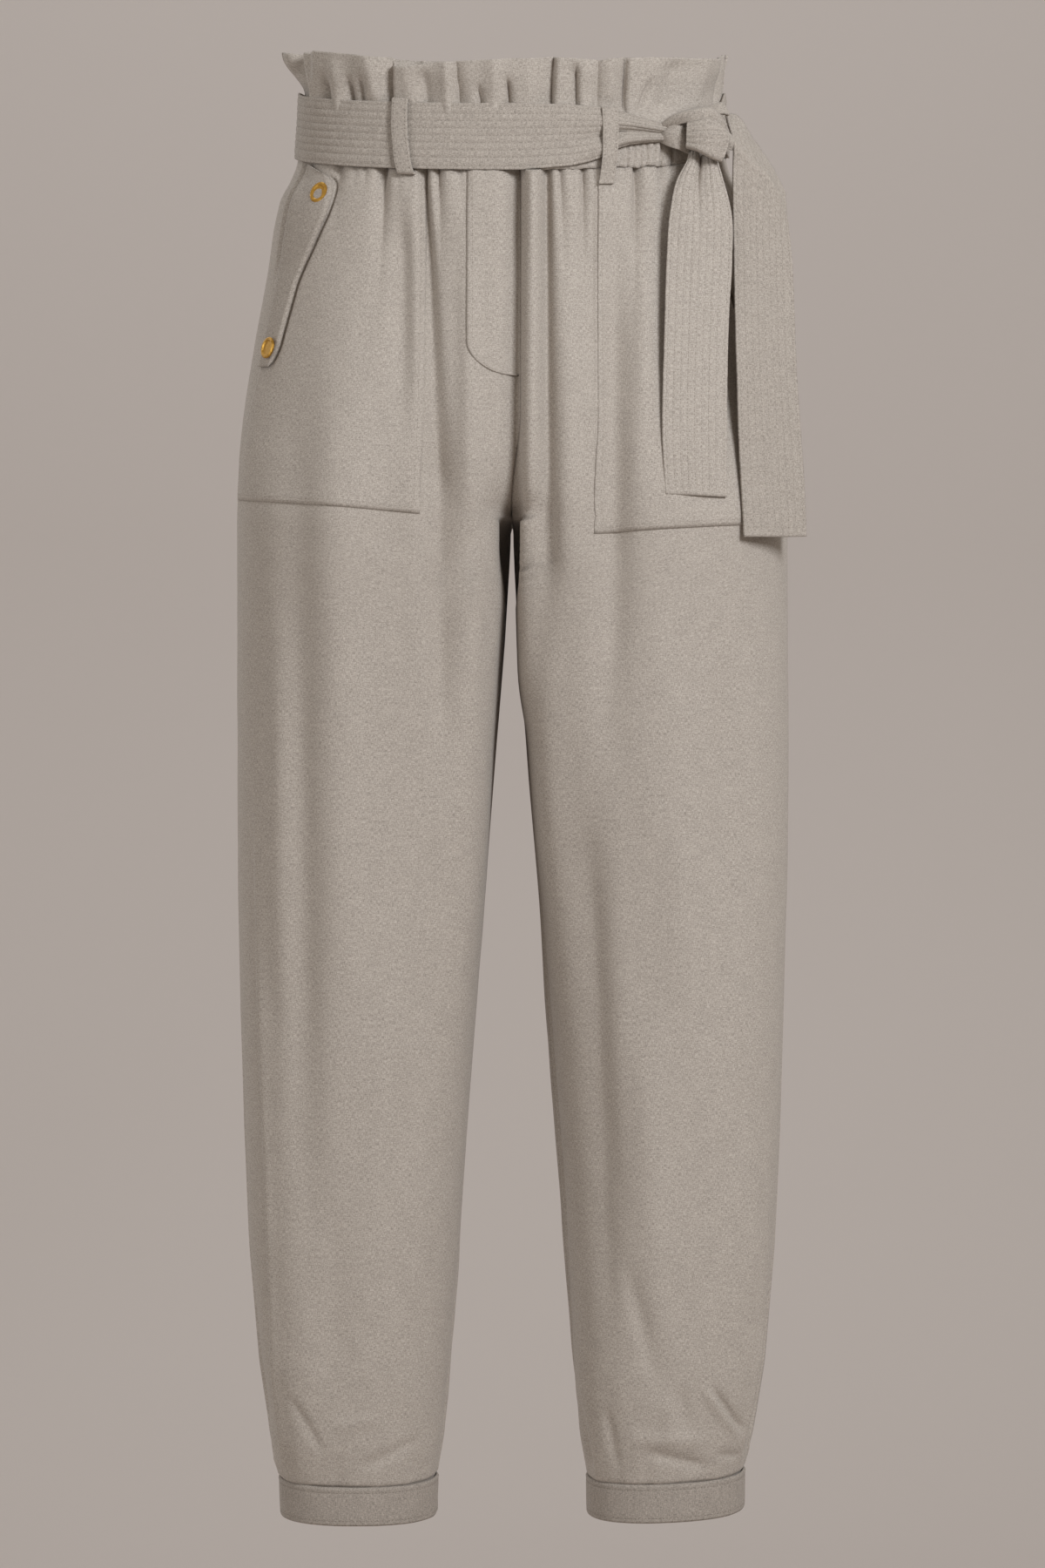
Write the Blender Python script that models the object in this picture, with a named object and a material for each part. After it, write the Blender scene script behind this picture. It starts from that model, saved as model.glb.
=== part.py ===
"""Paperbag waist trousers: a tapered pair with a gathered ruffle, a tied belt and turned cuffs.

Front is -Y, up is +Z, metres. The origin is the middle of the waist, level with the middle of
the belt at the side seams. side = -1 is the wearer's right, side = +1 the wearer's left.
"""

import math

import bpy
from mathutils import Vector

for old in list(bpy.data.objects):
    bpy.data.objects.remove(old)

# ---- driving sizes -------------------------------------------------------------------------
CLOTH = 0.0012          # leg panels
BAND = 0.0016           # casing and ruffle, cloth doubled
PATCH = 0.0010          # pockets, facings and placket
BELT = 0.0020           # tie belt, stitched in rows
LOOP = 0.0012
CUFF = 0.0024           # turned cuff, cloth folded twice
SEAM = 0.0003           # between two pieces sewn to one another
GAP = 0.0004            # between a piece and the one it lies on
BELT_TOP = 0.0242
BELT_LOW = -0.0194
CASING_LOW = -0.0220
RUFFLE_TOP = 0.0535
LEG_END = -0.9170
CUFF_LOW = -0.9425
FRONT_TILT = 0.24       # the front of the waist is lower than its sides
BACK_TILT = 0.10        # the back is a little higher
FLY_SHIFT = 0.006       # the placket leans to the wearer's left
SQUARE = 2.25           # a plain ellipse is 2
# the front lies flatter towards the centre: z and its exponent there
FLAT_FRONT = [(-0.15, 2.25), (-0.20, 3.2), (-0.27, 4.2), (-0.34, 3.6), (-0.50, 2.8), (-0.75, 2.25)]
SNAP_R = 0.0073
SNAP_H = 0.0022

# z, outer edge, inner edge, depth in front, depth behind: one leg's ring; above the crotch the
# two legs' rings cross and the pair is joined at x = 0
SECTIONS = [
    (0.0600, 0.1425, -0.1425, 0.0960, 0.0960),
    (0.0226, 0.1425, -0.1425, 0.0960, 0.0960),
    (-0.0246, 0.1455, -0.1455, 0.0985, 0.0985),
    (-0.0450, 0.1545, -0.1545, 0.1015, 0.1035),
    (-0.0700, 0.1605, -0.1605, 0.1045, 0.1100),
    (-0.1000, 0.1665, -0.1650, 0.1085, 0.1180),
    (-0.1400, 0.1738, -0.1500, 0.1120, 0.1270),
    (-0.1700, 0.1780, -0.1250, 0.1145, 0.1310),
    (-0.2000, 0.1815, -0.0920, 0.1155, 0.1330),
    (-0.2250, 0.1840, -0.0580, 0.1160, 0.1310),
    (-0.2480, 0.1852, -0.0260, 0.1160, 0.1280),
    (-0.2685, 0.1860, 0.0006, 0.1160, 0.1240),
    (-0.3000, 0.1862, 0.0022, 0.1130, 0.1180),
    (-0.3500, 0.1862, 0.0053, 0.1050, 0.1080),
    (-0.4400, 0.1870, 0.0125, 0.0940, 0.0960),
    (-0.5200, 0.1868, 0.0188, 0.0860, 0.0880),
    (-0.6000, 0.1852, 0.0248, 0.0790, 0.0800),
    (-0.6800, 0.1830, 0.0308, 0.0750, 0.0755),
    (-0.7600, 0.1795, 0.0365, 0.0710, 0.0725),
    (-0.8400, 0.1728, 0.0432, 0.0640, 0.0655),
    (-0.8900, 0.1650, 0.0478, 0.0560, 0.0580),
    (-0.9170, 0.1572, 0.0525, 0.0490, 0.0500),
    (-0.9425, 0.1562, 0.0535, 0.0480, 0.0490),
]
# rows of the leg panels; the eleventh is the crotch row, and the pockets end on it
ROWS = [
    -0.0223, -0.0400, -0.0545, -0.0750, -0.1000, -0.1300, -0.1650, -0.1950, -0.2250, -0.2480,
    -0.2685, -0.3100, -0.3600, -0.4200, -0.4800, -0.5400, -0.6000, -0.6600, -0.7200, -0.7800,
    -0.8300, -0.8700, -0.9000, -0.9167,
]
CROTCH = 10
FACING_ROWS = 6
# z, share of the front's width from the centre to the facing's edge, and to the pocket mouth
MOUTH = [
    (-0.0223, 0.700, 0.790),
    (-0.0400, 0.612, 0.790),
    (-0.0545, 0.615, 0.790),
    (-0.0750, 0.648, 0.790),
    (-0.1000, 0.690, 0.790),
    (-0.1300, 0.705, 0.790),
    (-0.1650, 0.735, 0.800),
    (-0.2250, 0.780, 0.860),
    (-0.2685, 0.770, 0.900),
    (-0.3600, 0.700, 0.880),
    (-0.9425, 0.680, 0.850),
]
# the pocket on each side: distance of its inner edge from the centre, its inner and outer
# lower corners
POCKETS = {
    -1: (0.0600, -0.2700, -0.2550),
    1: (0.0540, -0.2830, -0.2710),
}
# front folds: x, half width, depth (negative stands out), first and last z
FRONT_FOLDS = [
    (-0.108, 0.009, 0.0020, -0.025, -0.120),
    (-0.085, 0.009, 0.0020, -0.025, -0.150),
    (-0.054, 0.010, 0.0030, -0.025, -0.230),
    (-0.026, 0.009, 0.0025, -0.025, -0.120),
    (0.000, 0.009, 0.0030, -0.025, -0.270),
    (0.022, 0.010, -0.0030, -0.100, -0.420),
    (0.046, 0.009, 0.0030, -0.025, -0.160),
    (0.080, 0.010, 0.0020, -0.025, -0.130),
    (-0.094, 0.012, -0.0020, -0.300, -0.760),
    (0.080, 0.014, 0.0025, -0.300, -0.420),
]
BACK_FOLDS = [
    (-0.100, 0.010, 0.0025, -0.025, -0.130),
    (-0.066, 0.010, 0.0030, -0.025, -0.190),
    (-0.028, 0.009, 0.0025, -0.025, -0.120),
    (0.000, 0.009, 0.0030, -0.025, -0.270),
    (0.036, 0.010, 0.0030, -0.025, -0.180),
    (0.072, 0.009, 0.0025, -0.025, -0.130),
    (0.106, 0.010, 0.0020, -0.025, -0.110),
    (-0.070, 0.014, 0.0030, -0.300, -0.460),
    (0.086, 0.014, 0.0030, -0.310, -0.500),
]
# the tuck down the outside of each leg: side, z, share of the front's width, set-back
TUCKS = [
    (-1, -0.440, 0.800, 0.0000),
    (-1, -0.560, 0.800, 0.0030),
    (-1, -0.750, 0.830, 0.0040),
    (-1, -0.870, 0.870, 0.0040),
    (-1, -0.9167, 0.900, 0.0010),
    (1, -0.700, 0.860, 0.0000),
    (1, -0.820, 0.880, 0.0040),
    (1, -0.890, 0.880, 0.0040),
    (1, -0.9167, 0.900, 0.0010),
]
# free tail that lies on the front: z, left and right edge in x, then in y
TAIL_FRONT = [
    (-0.0345, 0.1165, 0.1345, -0.0825, -0.0795),
    (-0.0470, 0.1115, 0.1385, -0.0875, -0.0845),
    (-0.0700, 0.1058, 0.1446, -0.0960, -0.0900),
    (-0.1000, 0.1030, 0.1449, -0.1010, -0.0910),
    (-0.1400, 0.1005, 0.1425, -0.1075, -0.0960),
    (-0.1800, 0.0990, 0.1412, -0.1130, -0.1000),
    (-0.2200, 0.0985, 0.1409, -0.1170, -0.1045),
    (-0.2575, 0.1005, 0.1409, -0.1180, -0.1070),
]
# free tail at the side: left edge x, y, z, right edge x, y, z
TAIL_SIDE = [
    (0.1405, -0.0480, -0.0060, 0.1765, -0.0470, -0.0520),
    (0.1457, -0.0740, -0.0265, 0.1772, -0.0600, -0.0545),
    (0.1477, -0.0800, -0.0620, 0.1800, -0.0640, -0.0640),
    (0.1477, -0.0860, -0.1000, 0.1852, -0.0670, -0.1000),
    (0.1477, -0.0960, -0.1700, 0.1890, -0.0710, -0.1700),
    (0.1503, -0.1010, -0.2400, 0.1936, -0.0730, -0.2400),
    (0.1526, -0.1020, -0.2840, 0.1955, -0.0730, -0.2820),
]
# knot pieces: upper edge x, y, z, lower edge x, y, z
KNOT_OVER = [
    (0.0985, -0.0800, -0.0095, 0.1010, -0.0810, -0.0135),
    (0.1080, -0.0830, -0.0050, 0.1085, -0.0870, -0.0112),
    (0.1185, -0.0840, -0.0014, 0.1150, -0.0900, -0.0098),
    (0.1288, -0.0810, -0.0008, 0.1225, -0.0895, -0.0092),
    (0.1345, -0.0760, -0.0040, 0.1300, -0.0865, -0.0092),
    (0.1380, -0.0720, -0.0095, 0.1360, -0.0810, -0.0112),
]
KNOT_WRAP = [
    (0.1165, -0.0880, -0.0125, 0.1365, -0.0820, -0.0140),
    (0.1150, -0.0935, -0.0180, 0.1395, -0.0880, -0.0200),
    (0.1148, -0.0950, -0.0245, 0.1420, -0.0895, -0.0260),
    (0.1150, -0.0930, -0.0290, 0.1405, -0.0880, -0.0325),
    (0.1156, -0.0900, -0.0312, 0.1365, -0.0850, -0.0375),
]
# where the band narrows into the knot: x, top, bottom (nominal z)
NARROW = [
    (0.0620, 0.0215, -0.0150),
    (0.0720, 0.0150, -0.0030),
    (0.0880, 0.0090, -0.0050),
    (0.1000, 0.0050, -0.0040),
    (0.1120, 0.0010, -0.0140),
]


def smooth(a, b, x):
    """0 at a, 1 at b, eased."""
    s = min(1.0, max(0.0, (x - a) / (b - a)))
    return s * s * (3.0 - 2.0 * s)


def look(table, z):
    """The row of a table, listed from the top down, at height z."""
    if z >= table[0][0]:
        return table[0][1:]
    for high, low in zip(table, table[1:]):
        if z >= low[0]:
            s = (z - low[0]) / (high[0] - low[0])
            return tuple(a * s + b * (1.0 - s) for a, b in zip(high[1:], low[1:]))
    return table[-1][1:]


RINGS = {}


def ring(z, back):
    """One leg's half ring from the centre seam or inseam out to the side seam."""
    key = (round(z, 6), back)
    if key not in RINGS:
        outer, inner, front, rear = look(SECTIONS, z)
        mid = (outer + inner) / 2.0
        half = (outer - inner) / 2.0
        deep = rear if back else -front
        near = SQUARE if back else look(FLAT_FRONT, z)[0]
        start = 0.0
        if inner < 0.0:
            start = math.acos(min(1.0, (mid / half) ** (near / 2.0)))
        pts = []
        for i in range(121):
            a = start + (math.pi - start) * i / 120.0
            square = near if math.cos(a) > 0.0 else SQUARE
            c = math.copysign(abs(math.cos(a)) ** (2.0 / square), math.cos(a))
            s = abs(math.sin(a)) ** (2.0 / square)
            pts.append((mid - half * c, deep * s))
        run = [0.0]
        for p, q in zip(pts, pts[1:]):
            run.append(run[-1] + math.hypot(q[0] - p[0], q[1] - p[1]))
        RINGS[key] = (pts, [r / run[-1] for r in run])
    return RINGS[key]


def ring_at(z, back, t):
    """Point and outward direction at share t of the half ring."""
    pts, run = ring(z, back)
    i = 1
    while i < 120 and run[i] < t:
        i += 1
    s = (t - run[i - 1]) / (run[i] - run[i - 1])
    p, q = pts[i - 1], pts[i]
    x = p[0] + (q[0] - p[0]) * s
    y = p[1] + (q[1] - p[1]) * s
    dx, dy = q[0] - p[0], q[1] - p[1]
    size = math.hypot(dx, dy)
    sign = -1.0 if back else 1.0
    return x, y, sign * dy / size, -sign * dx / size


def share(z, back, x):
    """Share of the half ring at which it reaches x, counted from the centre."""
    pts, run = ring(z, back)
    for i in range(1, 121):
        if pts[i][0] >= x:
            s = (x - pts[i - 1][0]) / (pts[i][0] - pts[i - 1][0])
            return run[i - 1] + (run[i] - run[i - 1]) * s
    return 1.0


def fold(side, back, x, t, z):
    """How far the cloth stands off its plain form."""
    out = 0.0
    for fx, half, deep, top, end in BACK_FOLDS if back else FRONT_FOLDS:
        if fx * side < 0.0 and fx != 0.0:
            continue
        fade = smooth(end, end * 0.6 + top * 0.4, z) * smooth(top + 0.03, top - 0.03, z)
        if top < -0.2:
            fade = smooth(end, end * 0.7 + top * 0.3, z) * smooth(top, top - 0.06, z)
        out -= deep * fade * math.exp(-(((x - abs(fx)) / half) ** 2))
    if not back:
        rows = [(r[1], r[2], r[3]) for r in TUCKS if r[0] == side]
        line, deep = look(rows, z)
        if z < rows[0][0]:
            out -= deep * smooth(line - 0.02, line + 0.05, t) * smooth(1.0, 0.97, t)
    return out


def on_body(side, back, t, z, out):
    """A point on the cloth, out from its middle surface, before the garment is bent."""
    x, y, nx, ny = ring_at(z, back, t)
    d = out
    if z <= CASING_LOW:
        d += fold(side, back, x, t, z)
    return Vector((side * (x + nx * d), y + ny * d, z))


def bend(p):
    """The waist tips forward and the placket leans; both fade out down the hips."""
    near = smooth(-0.25, -0.06, p.z)
    tilt = FRONT_TILT * p.y if p.y < 0.0 else BACK_TILT * p.y
    x = p.x
    if p.y < 0.0:
        lean = smooth(-0.262, -0.20, p.z) * smooth(0.03, -0.03, p.z)
        x += FLY_SHIFT * math.exp(-((p.x / 0.06) ** 2)) * lean * smooth(0.0, -0.06, p.y)
    return Vector((x, p.y, p.z + tilt * near))


def material(name, color, metallic=0.0, roughness=0.9):
    mat = bpy.data.materials.new(name)
    mat.use_nodes = True
    node = mat.node_tree.nodes["Principled BSDF"]
    node.inputs["Base Color"].default_value = color
    node.inputs["Metallic"].default_value = metallic
    node.inputs["Roughness"].default_value = roughness
    return mat


def shell(name, grid, wall, color, bent=True, keep_x=0, keep_y=0, closed=False):
    """A cloth wall on both sides of a grid of points; keep_x and keep_y hold it off a seam."""
    rows, cols = len(grid), len(grid[0])
    verts = []
    for offset in (wall / 2.0, -wall / 2.0):
        for i in range(rows):
            for j in range(cols):
                up = grid[max(0, i - 1)][j]
                down = grid[min(rows - 1, i + 1)][j]
                if closed:
                    left, right = grid[i][j - 1], grid[i][(j + 1) % cols]
                else:
                    left, right = grid[i][max(0, j - 1)], grid[i][min(cols - 1, j + 1)]
                n = (right - left).cross(up - down).normalized()
                p = grid[i][j] + n * offset
                if keep_x:
                    p.x = keep_x * max(p.x * keep_x, SEAM / 2.0)
                if keep_y:
                    p.y = keep_y * max(p.y * keep_y, SEAM / 2.0)
                verts.append(bend(p) if bent else p)
    size = rows * cols
    last = cols if closed else cols - 1
    faces = []
    for i in range(rows - 1):
        for j in range(last):
            k = (j + 1) % cols
            a, b, c, d = i * cols + j, i * cols + k, (i + 1) * cols + k, (i + 1) * cols + j
            faces.append((a, d, c, b))
            faces.append((a + size, b + size, c + size, d + size))
    for i, flip in ((0, False), (rows - 1, True)):
        for j in range(last):
            a, b = i * cols + j, i * cols + (j + 1) % cols
            quad = (a, b, b + size, a + size)
            faces.append(quad[::-1] if flip else quad)
    if not closed:
        for j, flip in ((0, True), (cols - 1, False)):
            for i in range(rows - 1):
                a, b = i * cols + j, (i + 1) * cols + j
                quad = (a, b, b + size, a + size)
                faces.append(quad[::-1] if flip else quad)
    mesh = bpy.data.meshes.new(name)
    mesh.from_pydata([tuple(v) for v in verts], [], faces)
    mesh.validate()
    obj = bpy.data.objects.new(name, mesh)
    bpy.context.scene.collection.objects.link(obj)
    mesh.materials.append(material(name + "_mat", color))


LINEN = (0.39, 0.34, 0.30, 1.0)
SHADE = (0.33, 0.29, 0.25, 1.0)
BRASS = (0.55, 0.33, 0.08, 1.0)
SIDE_NAME = {-1: "right", 1: "left"}


# ---- legs ----------------------------------------------------------------------------------
def spread(stops, counts):
    out = [stops[0]]
    for a, b, n in zip(stops, stops[1:], counts):
        out += [a + (b - a) * (k + 1) / n for k in range(n)]
    return out


def front_columns(side, z):
    """Shares of the width for the panel's columns: centre, pocket, facing, mouth, side."""
    edge, mouth = look(MOUTH, z)
    inner = share(max(z, -0.2685), False, POCKETS[side][0])
    inner += (0.34 - inner) * smooth(-0.27, -0.42, z)
    return spread([0.0, inner, edge, mouth, 1.0], [4, 4, 2, 3])


def row_height(side, i, t):
    """Height of a front row; those about the pocket's lower edge slope with it."""
    near = {CROTCH: 1.0, CROTCH + 1: 0.5, CROTCH - 1: 0.5, CROTCH - 2: 0.2, CROTCH + 2: 0.2}
    share_of = near.get(i, 0.0)
    inner_x, low, high = POCKETS[side]
    a, b = 0.34, 0.90
    slope = (low - ROWS[CROTCH]) * smooth(0.0, a, t)
    slope += (high - low) * min(1.0, max(0.0, (t - a) / (b - a)))
    return ROWS[i] + slope * share_of


def front_grid(side, first, last, low, out):
    """Points of a piece on the front panel: columns first to last, rows down to low."""
    grid = []
    for i in range(low + 1):
        cols = front_columns(side, ROWS[i])
        grid.append([on_body(side, False, t, row_height(side, i, t), out)
                     for t in cols[first:last + 1]])
    return grid if side > 0 else [row[::-1] for row in grid]


for side in (-1, 1):
    tag = SIDE_NAME[side]
    shell("front_" + tag, front_grid(side, 0, 13, len(ROWS) - 1, 0.0), CLOTH, LINEN,
          keep_x=side, keep_y=-1)
    back = []
    for z in ROWS:
        row = [on_body(side, True, j / 12.0, z, 0.0) for j in range(13)]
        back.append(row if side < 0 else row[::-1])
    shell("back_" + tag, back, CLOTH, LINEN, keep_x=side, keep_y=1)
    on_panel = CLOTH / 2.0 + GAP + PATCH / 2.0
    shell("pocket_" + tag, front_grid(side, 4, 10, CROTCH, on_panel), PATCH, LINEN)
    on_pocket = on_panel + PATCH + GAP
    shell("facing_" + tag, front_grid(side, 8, 10, FACING_ROWS, on_pocket), PATCH, SHADE)

shell("fly_placket", front_grid(-1, 0, 2, FACING_ROWS, CLOTH / 2.0 + GAP + PATCH / 2.0),
      PATCH, LINEN, keep_x=-1)


# ---- waistband with its ruffle -------------------------------------------------------------
BAND_CELLS = 18
BAND_ROWS = [CASING_LOW, 0.0000, BELT_TOP, 0.0300, 0.0400, RUFFLE_TOP]


def ruffle(u, back, z):
    """The paperbag edge above the belt: uneven waves that open towards the top."""
    ramp = smooth(BELT_TOP - 0.004, RUFFLE_TOP, z)
    phase = 2.1 if back else 0.4
    wave = math.sin(u * 13.0 + phase) * 0.6 + math.sin(u * 21.0 + phase * 2.3) * 0.4
    flare = 0.0035
    if abs(u) > 0.75:
        flare += (0.0080 if u < 0.0 else 0.0005) * smooth(0.75, 1.0, abs(u))
    return ramp * (flare + 0.0032 * wave * smooth(1.0, 0.9, abs(u)))


def waist_at(u, back, z, out):
    side = -1 if u < 0.0 else 1
    x, y, nx, ny = ring_at(z, back, abs(u))
    d = out + ruffle(u, back, z)
    return Vector((side * (x + nx * d), y + ny * d, z))


def waist_columns(back):
    cols = [k / BAND_CELLS for k in range(-BAND_CELLS, BAND_CELLS + 1)]
    return cols[::-1] if back else cols


for back in (False, True):
    grid = []
    for z in BAND_ROWS:
        row = []
        for u in waist_columns(back):
            rise = 0.0012 * math.sin(u * 9.0 + 1.0) if z == RUFFLE_TOP else 0.0
            p = waist_at(u, back, z, 0.0)
            p.z += rise
            row.append(p)
        grid.append(row)
    shell("waistband_" + ("back" if back else "front"), grid[::-1], BAND, LINEN,
          keep_y=1 if back else -1)

# ---- belt ----------------------------------------------------------------------------------
ON_CASING = BAND / 2.0 + GAP + BELT / 2.0


def belt_rows(u, back):
    """Top and bottom of the band; it narrows where it runs into the knot."""
    if back or u < 0.0:
        return BELT_TOP, BELT_LOW
    x = ring_at(0.0, False, u)[0]
    if x > 0.13:
        return 0.0150, -0.0090
    return look([(-r[0], r[1], r[2]) for r in NARROW], -x)


# from the knot round the front, the right side, the back and the left side to the knot
way = [(k / BAND_CELLS, False) for k in range(11, -BAND_CELLS, -1)]
way += [(k / BAND_CELLS, True) for k in range(-BAND_CELLS, BAND_CELLS)]
way += [(k / BAND_CELLS, False) for k in range(BAND_CELLS, 14, -1)]
columns = []
for u, back in way:
    top, low = belt_rows(u, back)
    columns.append([waist_at(u, back, z, ON_CASING) for z in (top, (top + low) / 2.0, low)])
band = [[c[i] for c in columns][::-1] for i in range(3)]
shell("belt_band", band, BELT, SHADE)


def strip(name, edges, cells, belly, wall=BELT, color=SHADE, across=True):
    """A strip between two edges given as rows of x, y, z, x, y, z; belly swells its middle."""
    grid = []
    for x0, y0, z0, x1, y1, z1 in edges:
        a, b = Vector((x0, y0, z0)), Vector((x1, y1, z1))
        row = []
        for k in range(cells + 1):
            s = k / cells
            p = a.lerp(b, s)
            p.y -= belly * math.sin(math.pi * s)
            row.append(p)
        grid.append(row)
    if not across:
        grid = [list(r) for r in zip(*grid)]
    shell(name, grid, wall, color, bent=False)


strip("belt_tail_front", [(x0, y0, z, x1, y1, z) for z, x0, x1, y0, y1 in TAIL_FRONT], 4, 0.0012)
strip("belt_tail_side", TAIL_SIDE, 4, 0.0015)
strip("belt_knot_over", KNOT_OVER, 3, 0.0015, across=False)
strip("belt_knot_wrap", KNOT_WRAP, 4, 0.0025)

# ---- belt loops ----------------------------------------------------------------------------
# z and height off the casing's middle surface along a loop
LOOP_RIGHT = [
    (0.0262, 0.0018), (0.0262, 0.0032), (0.0248, 0.0042), (0.0080, 0.0043), (-0.0080, 0.0043),
    (-0.0192, 0.0042), (-0.0212, 0.0032), (-0.0214, 0.0020),
]
LOOP_LEFT = [
    (0.0262, 0.0018), (0.0262, 0.0032), (0.0248, 0.0042), (0.0080, 0.0043), (-0.0080, 0.0043),
    (-0.0200, 0.0043), (-0.0240, 0.0038), (-0.0285, 0.0036),
]
# name, back, side, top x, bottom x, path
LOOPS = [
    ("loop_front_right", False, -1, 0.0725, 0.0668, LOOP_RIGHT),
    ("loop_front_left", False, 1, 0.0632, 0.0592, LOOP_LEFT),
    ("loop_back_right", True, -1, 0.0680, 0.0690, LOOP_RIGHT),
    ("loop_back_left", True, 1, 0.0680, 0.0690, LOOP_RIGHT),
]
for name, back, side, top_x, low_x, path in LOOPS:
    grid = []
    for k, (z, out) in enumerate(path):
        x = top_x + (low_x - top_x) * k / (len(path) - 1)
        row = []
        for edge in (-0.005, 0.0, 0.005):
            t = share(z, back, x + edge)
            bx, by, nx, ny = ring_at(z, back, t)
            row.append(Vector((side * (bx + nx * out), by + ny * out, z)))
        if (side < 0) != back:
            row = row[::-1]
        grid.append(row)
    shell(name, grid, LOOP, SHADE)

# ---- brass snaps ---------------------------------------------------------------------------
# height off the cap's base and radius, from the rim to the dished middle
SNAP_FORM = [(0.0, 0.92), (0.35, 1.0), (0.75, 1.0), (1.0, 0.9), (1.0, 0.74), (0.72, 0.62)]
# name, side, z, x
SNAPS = [
    ("snap_right_upper", -1, -0.0375, 0.1250),
    ("snap_right_lower", -1, -0.1480, 0.1585),
    ("snap_left_upper", 1, -0.0375, 0.1250),
    ("snap_left_lower", 1, -0.1480, 0.1585),
]
for name, side, z, x in SNAPS:
    t = share(z, False, x)
    out = CLOTH / 2.0 + 2.0 * (GAP + PATCH) + GAP + 0.0006
    mid = on_body(side, False, t, z, out)
    a = on_body(side, False, t - 0.02, z, out)
    b = on_body(side, False, t + 0.02, z, out)
    c = on_body(side, False, t, z + 0.004, out)
    d = on_body(side, False, t, z - 0.004, out)
    mid, a, b, c, d = bend(mid), bend(a), bend(b), bend(c), bend(d)
    n = (b - a).cross(c - d).normalized() * side
    right = (b - a).normalized()
    up = n.cross(right).normalized()
    verts = []
    steps = 16
    for height, radius in SNAP_FORM:
        for k in range(steps):
            ang = 2.0 * math.pi * k / steps
            ray = right * math.cos(ang) + up * math.sin(ang)
            verts.append(mid + n * (height * SNAP_H) + ray * (radius * SNAP_R))
    faces = [tuple(range(steps))[::-1]]
    for r in range(len(SNAP_FORM) - 1):
        for k in range(steps):
            q = (k + 1) % steps
            faces.append((r * steps + k, r * steps + q, (r + 1) * steps + q, (r + 1) * steps + k))
    faces.append(tuple(range((len(SNAP_FORM) - 1) * steps, len(SNAP_FORM) * steps)))
    mesh = bpy.data.meshes.new(name)
    mesh.from_pydata([tuple(v) for v in verts], [], faces)
    obj = bpy.data.objects.new(name, mesh)
    bpy.context.scene.collection.objects.link(obj)
    mesh.materials.append(material(name + "_mat", BRASS, 1.0, 0.3))

# ---- cuffs ---------------------------------------------------------------------------------
for side in (-1, 1):
    grid = []
    for z in (LEG_END - 0.0002, (LEG_END + CUFF_LOW) / 2.0, CUFF_LOW):
        front = [on_body(side, False, j / 13.0, z, 0.0012) for j in range(14)]
        rear = [on_body(side, True, j / 13.0, z, 0.0012) for j in range(12, 0, -1)]
        row = front + rear
        grid.append(row if side > 0 else row[::-1])
    shell("cuff_" + SIDE_NAME[side], grid, CUFF, LINEN, closed=True)
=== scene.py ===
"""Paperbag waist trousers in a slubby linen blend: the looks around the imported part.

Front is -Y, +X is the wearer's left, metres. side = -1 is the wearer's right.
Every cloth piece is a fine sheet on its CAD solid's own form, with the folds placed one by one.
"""

import math

import bpy
import numpy as np
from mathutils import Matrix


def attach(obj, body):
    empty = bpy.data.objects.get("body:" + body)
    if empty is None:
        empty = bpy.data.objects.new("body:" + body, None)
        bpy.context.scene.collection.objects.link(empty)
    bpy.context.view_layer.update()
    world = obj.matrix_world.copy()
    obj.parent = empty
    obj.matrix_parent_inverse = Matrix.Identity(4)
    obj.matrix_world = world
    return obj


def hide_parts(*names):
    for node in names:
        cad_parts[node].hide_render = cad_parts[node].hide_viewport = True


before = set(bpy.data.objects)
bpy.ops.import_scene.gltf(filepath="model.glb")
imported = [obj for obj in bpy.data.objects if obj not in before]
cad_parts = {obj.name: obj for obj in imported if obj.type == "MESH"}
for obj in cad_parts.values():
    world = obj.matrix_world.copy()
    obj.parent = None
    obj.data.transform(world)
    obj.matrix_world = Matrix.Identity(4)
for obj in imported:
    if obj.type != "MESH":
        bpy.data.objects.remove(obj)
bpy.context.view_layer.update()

RNG = np.random.default_rng(7)

# ---- the form, close to the CAD's ----
CLOTH = 0.0011
BAND = 0.0018
PATCH = 0.0009
BELT = 0.002
CUFF = 0.0016
LOOP = 0.0015
BELT_TOP = 0.0244
BELT_LOW = -0.019
CASING_LOW = -0.0185
RUFFLE_TOP = 0.0535
LEG_TOP = -0.0188
LEG_END = -0.9168
CROTCH_Z = -0.2685
CUFF_TOP = -0.9172
CUFF_LOW = -0.9425
FRONT_TILT = 0.24
BACK_TILT = 0.1
FLY_SHIFT = 0.006
SQUARE = 2.25
SEAM = 0.0003
HEM_DIP = 0.0012
HEM_LIFT = 0.0046
# how much deeper some of the folds are drawn than their tables say
GATHER_DEPTH = 1.5
BACK_RUN_DEPTH = 1.8

# the front lies flatter towards the centre: z and the exponent of its ring there
FLAT_Z = [-0.75, -0.5, -0.34, -0.27, -0.2, -0.15]
FLAT_SQUARE = [2.25, 2.8, 3.6, 4.2, 3.2, 2.25]

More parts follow.
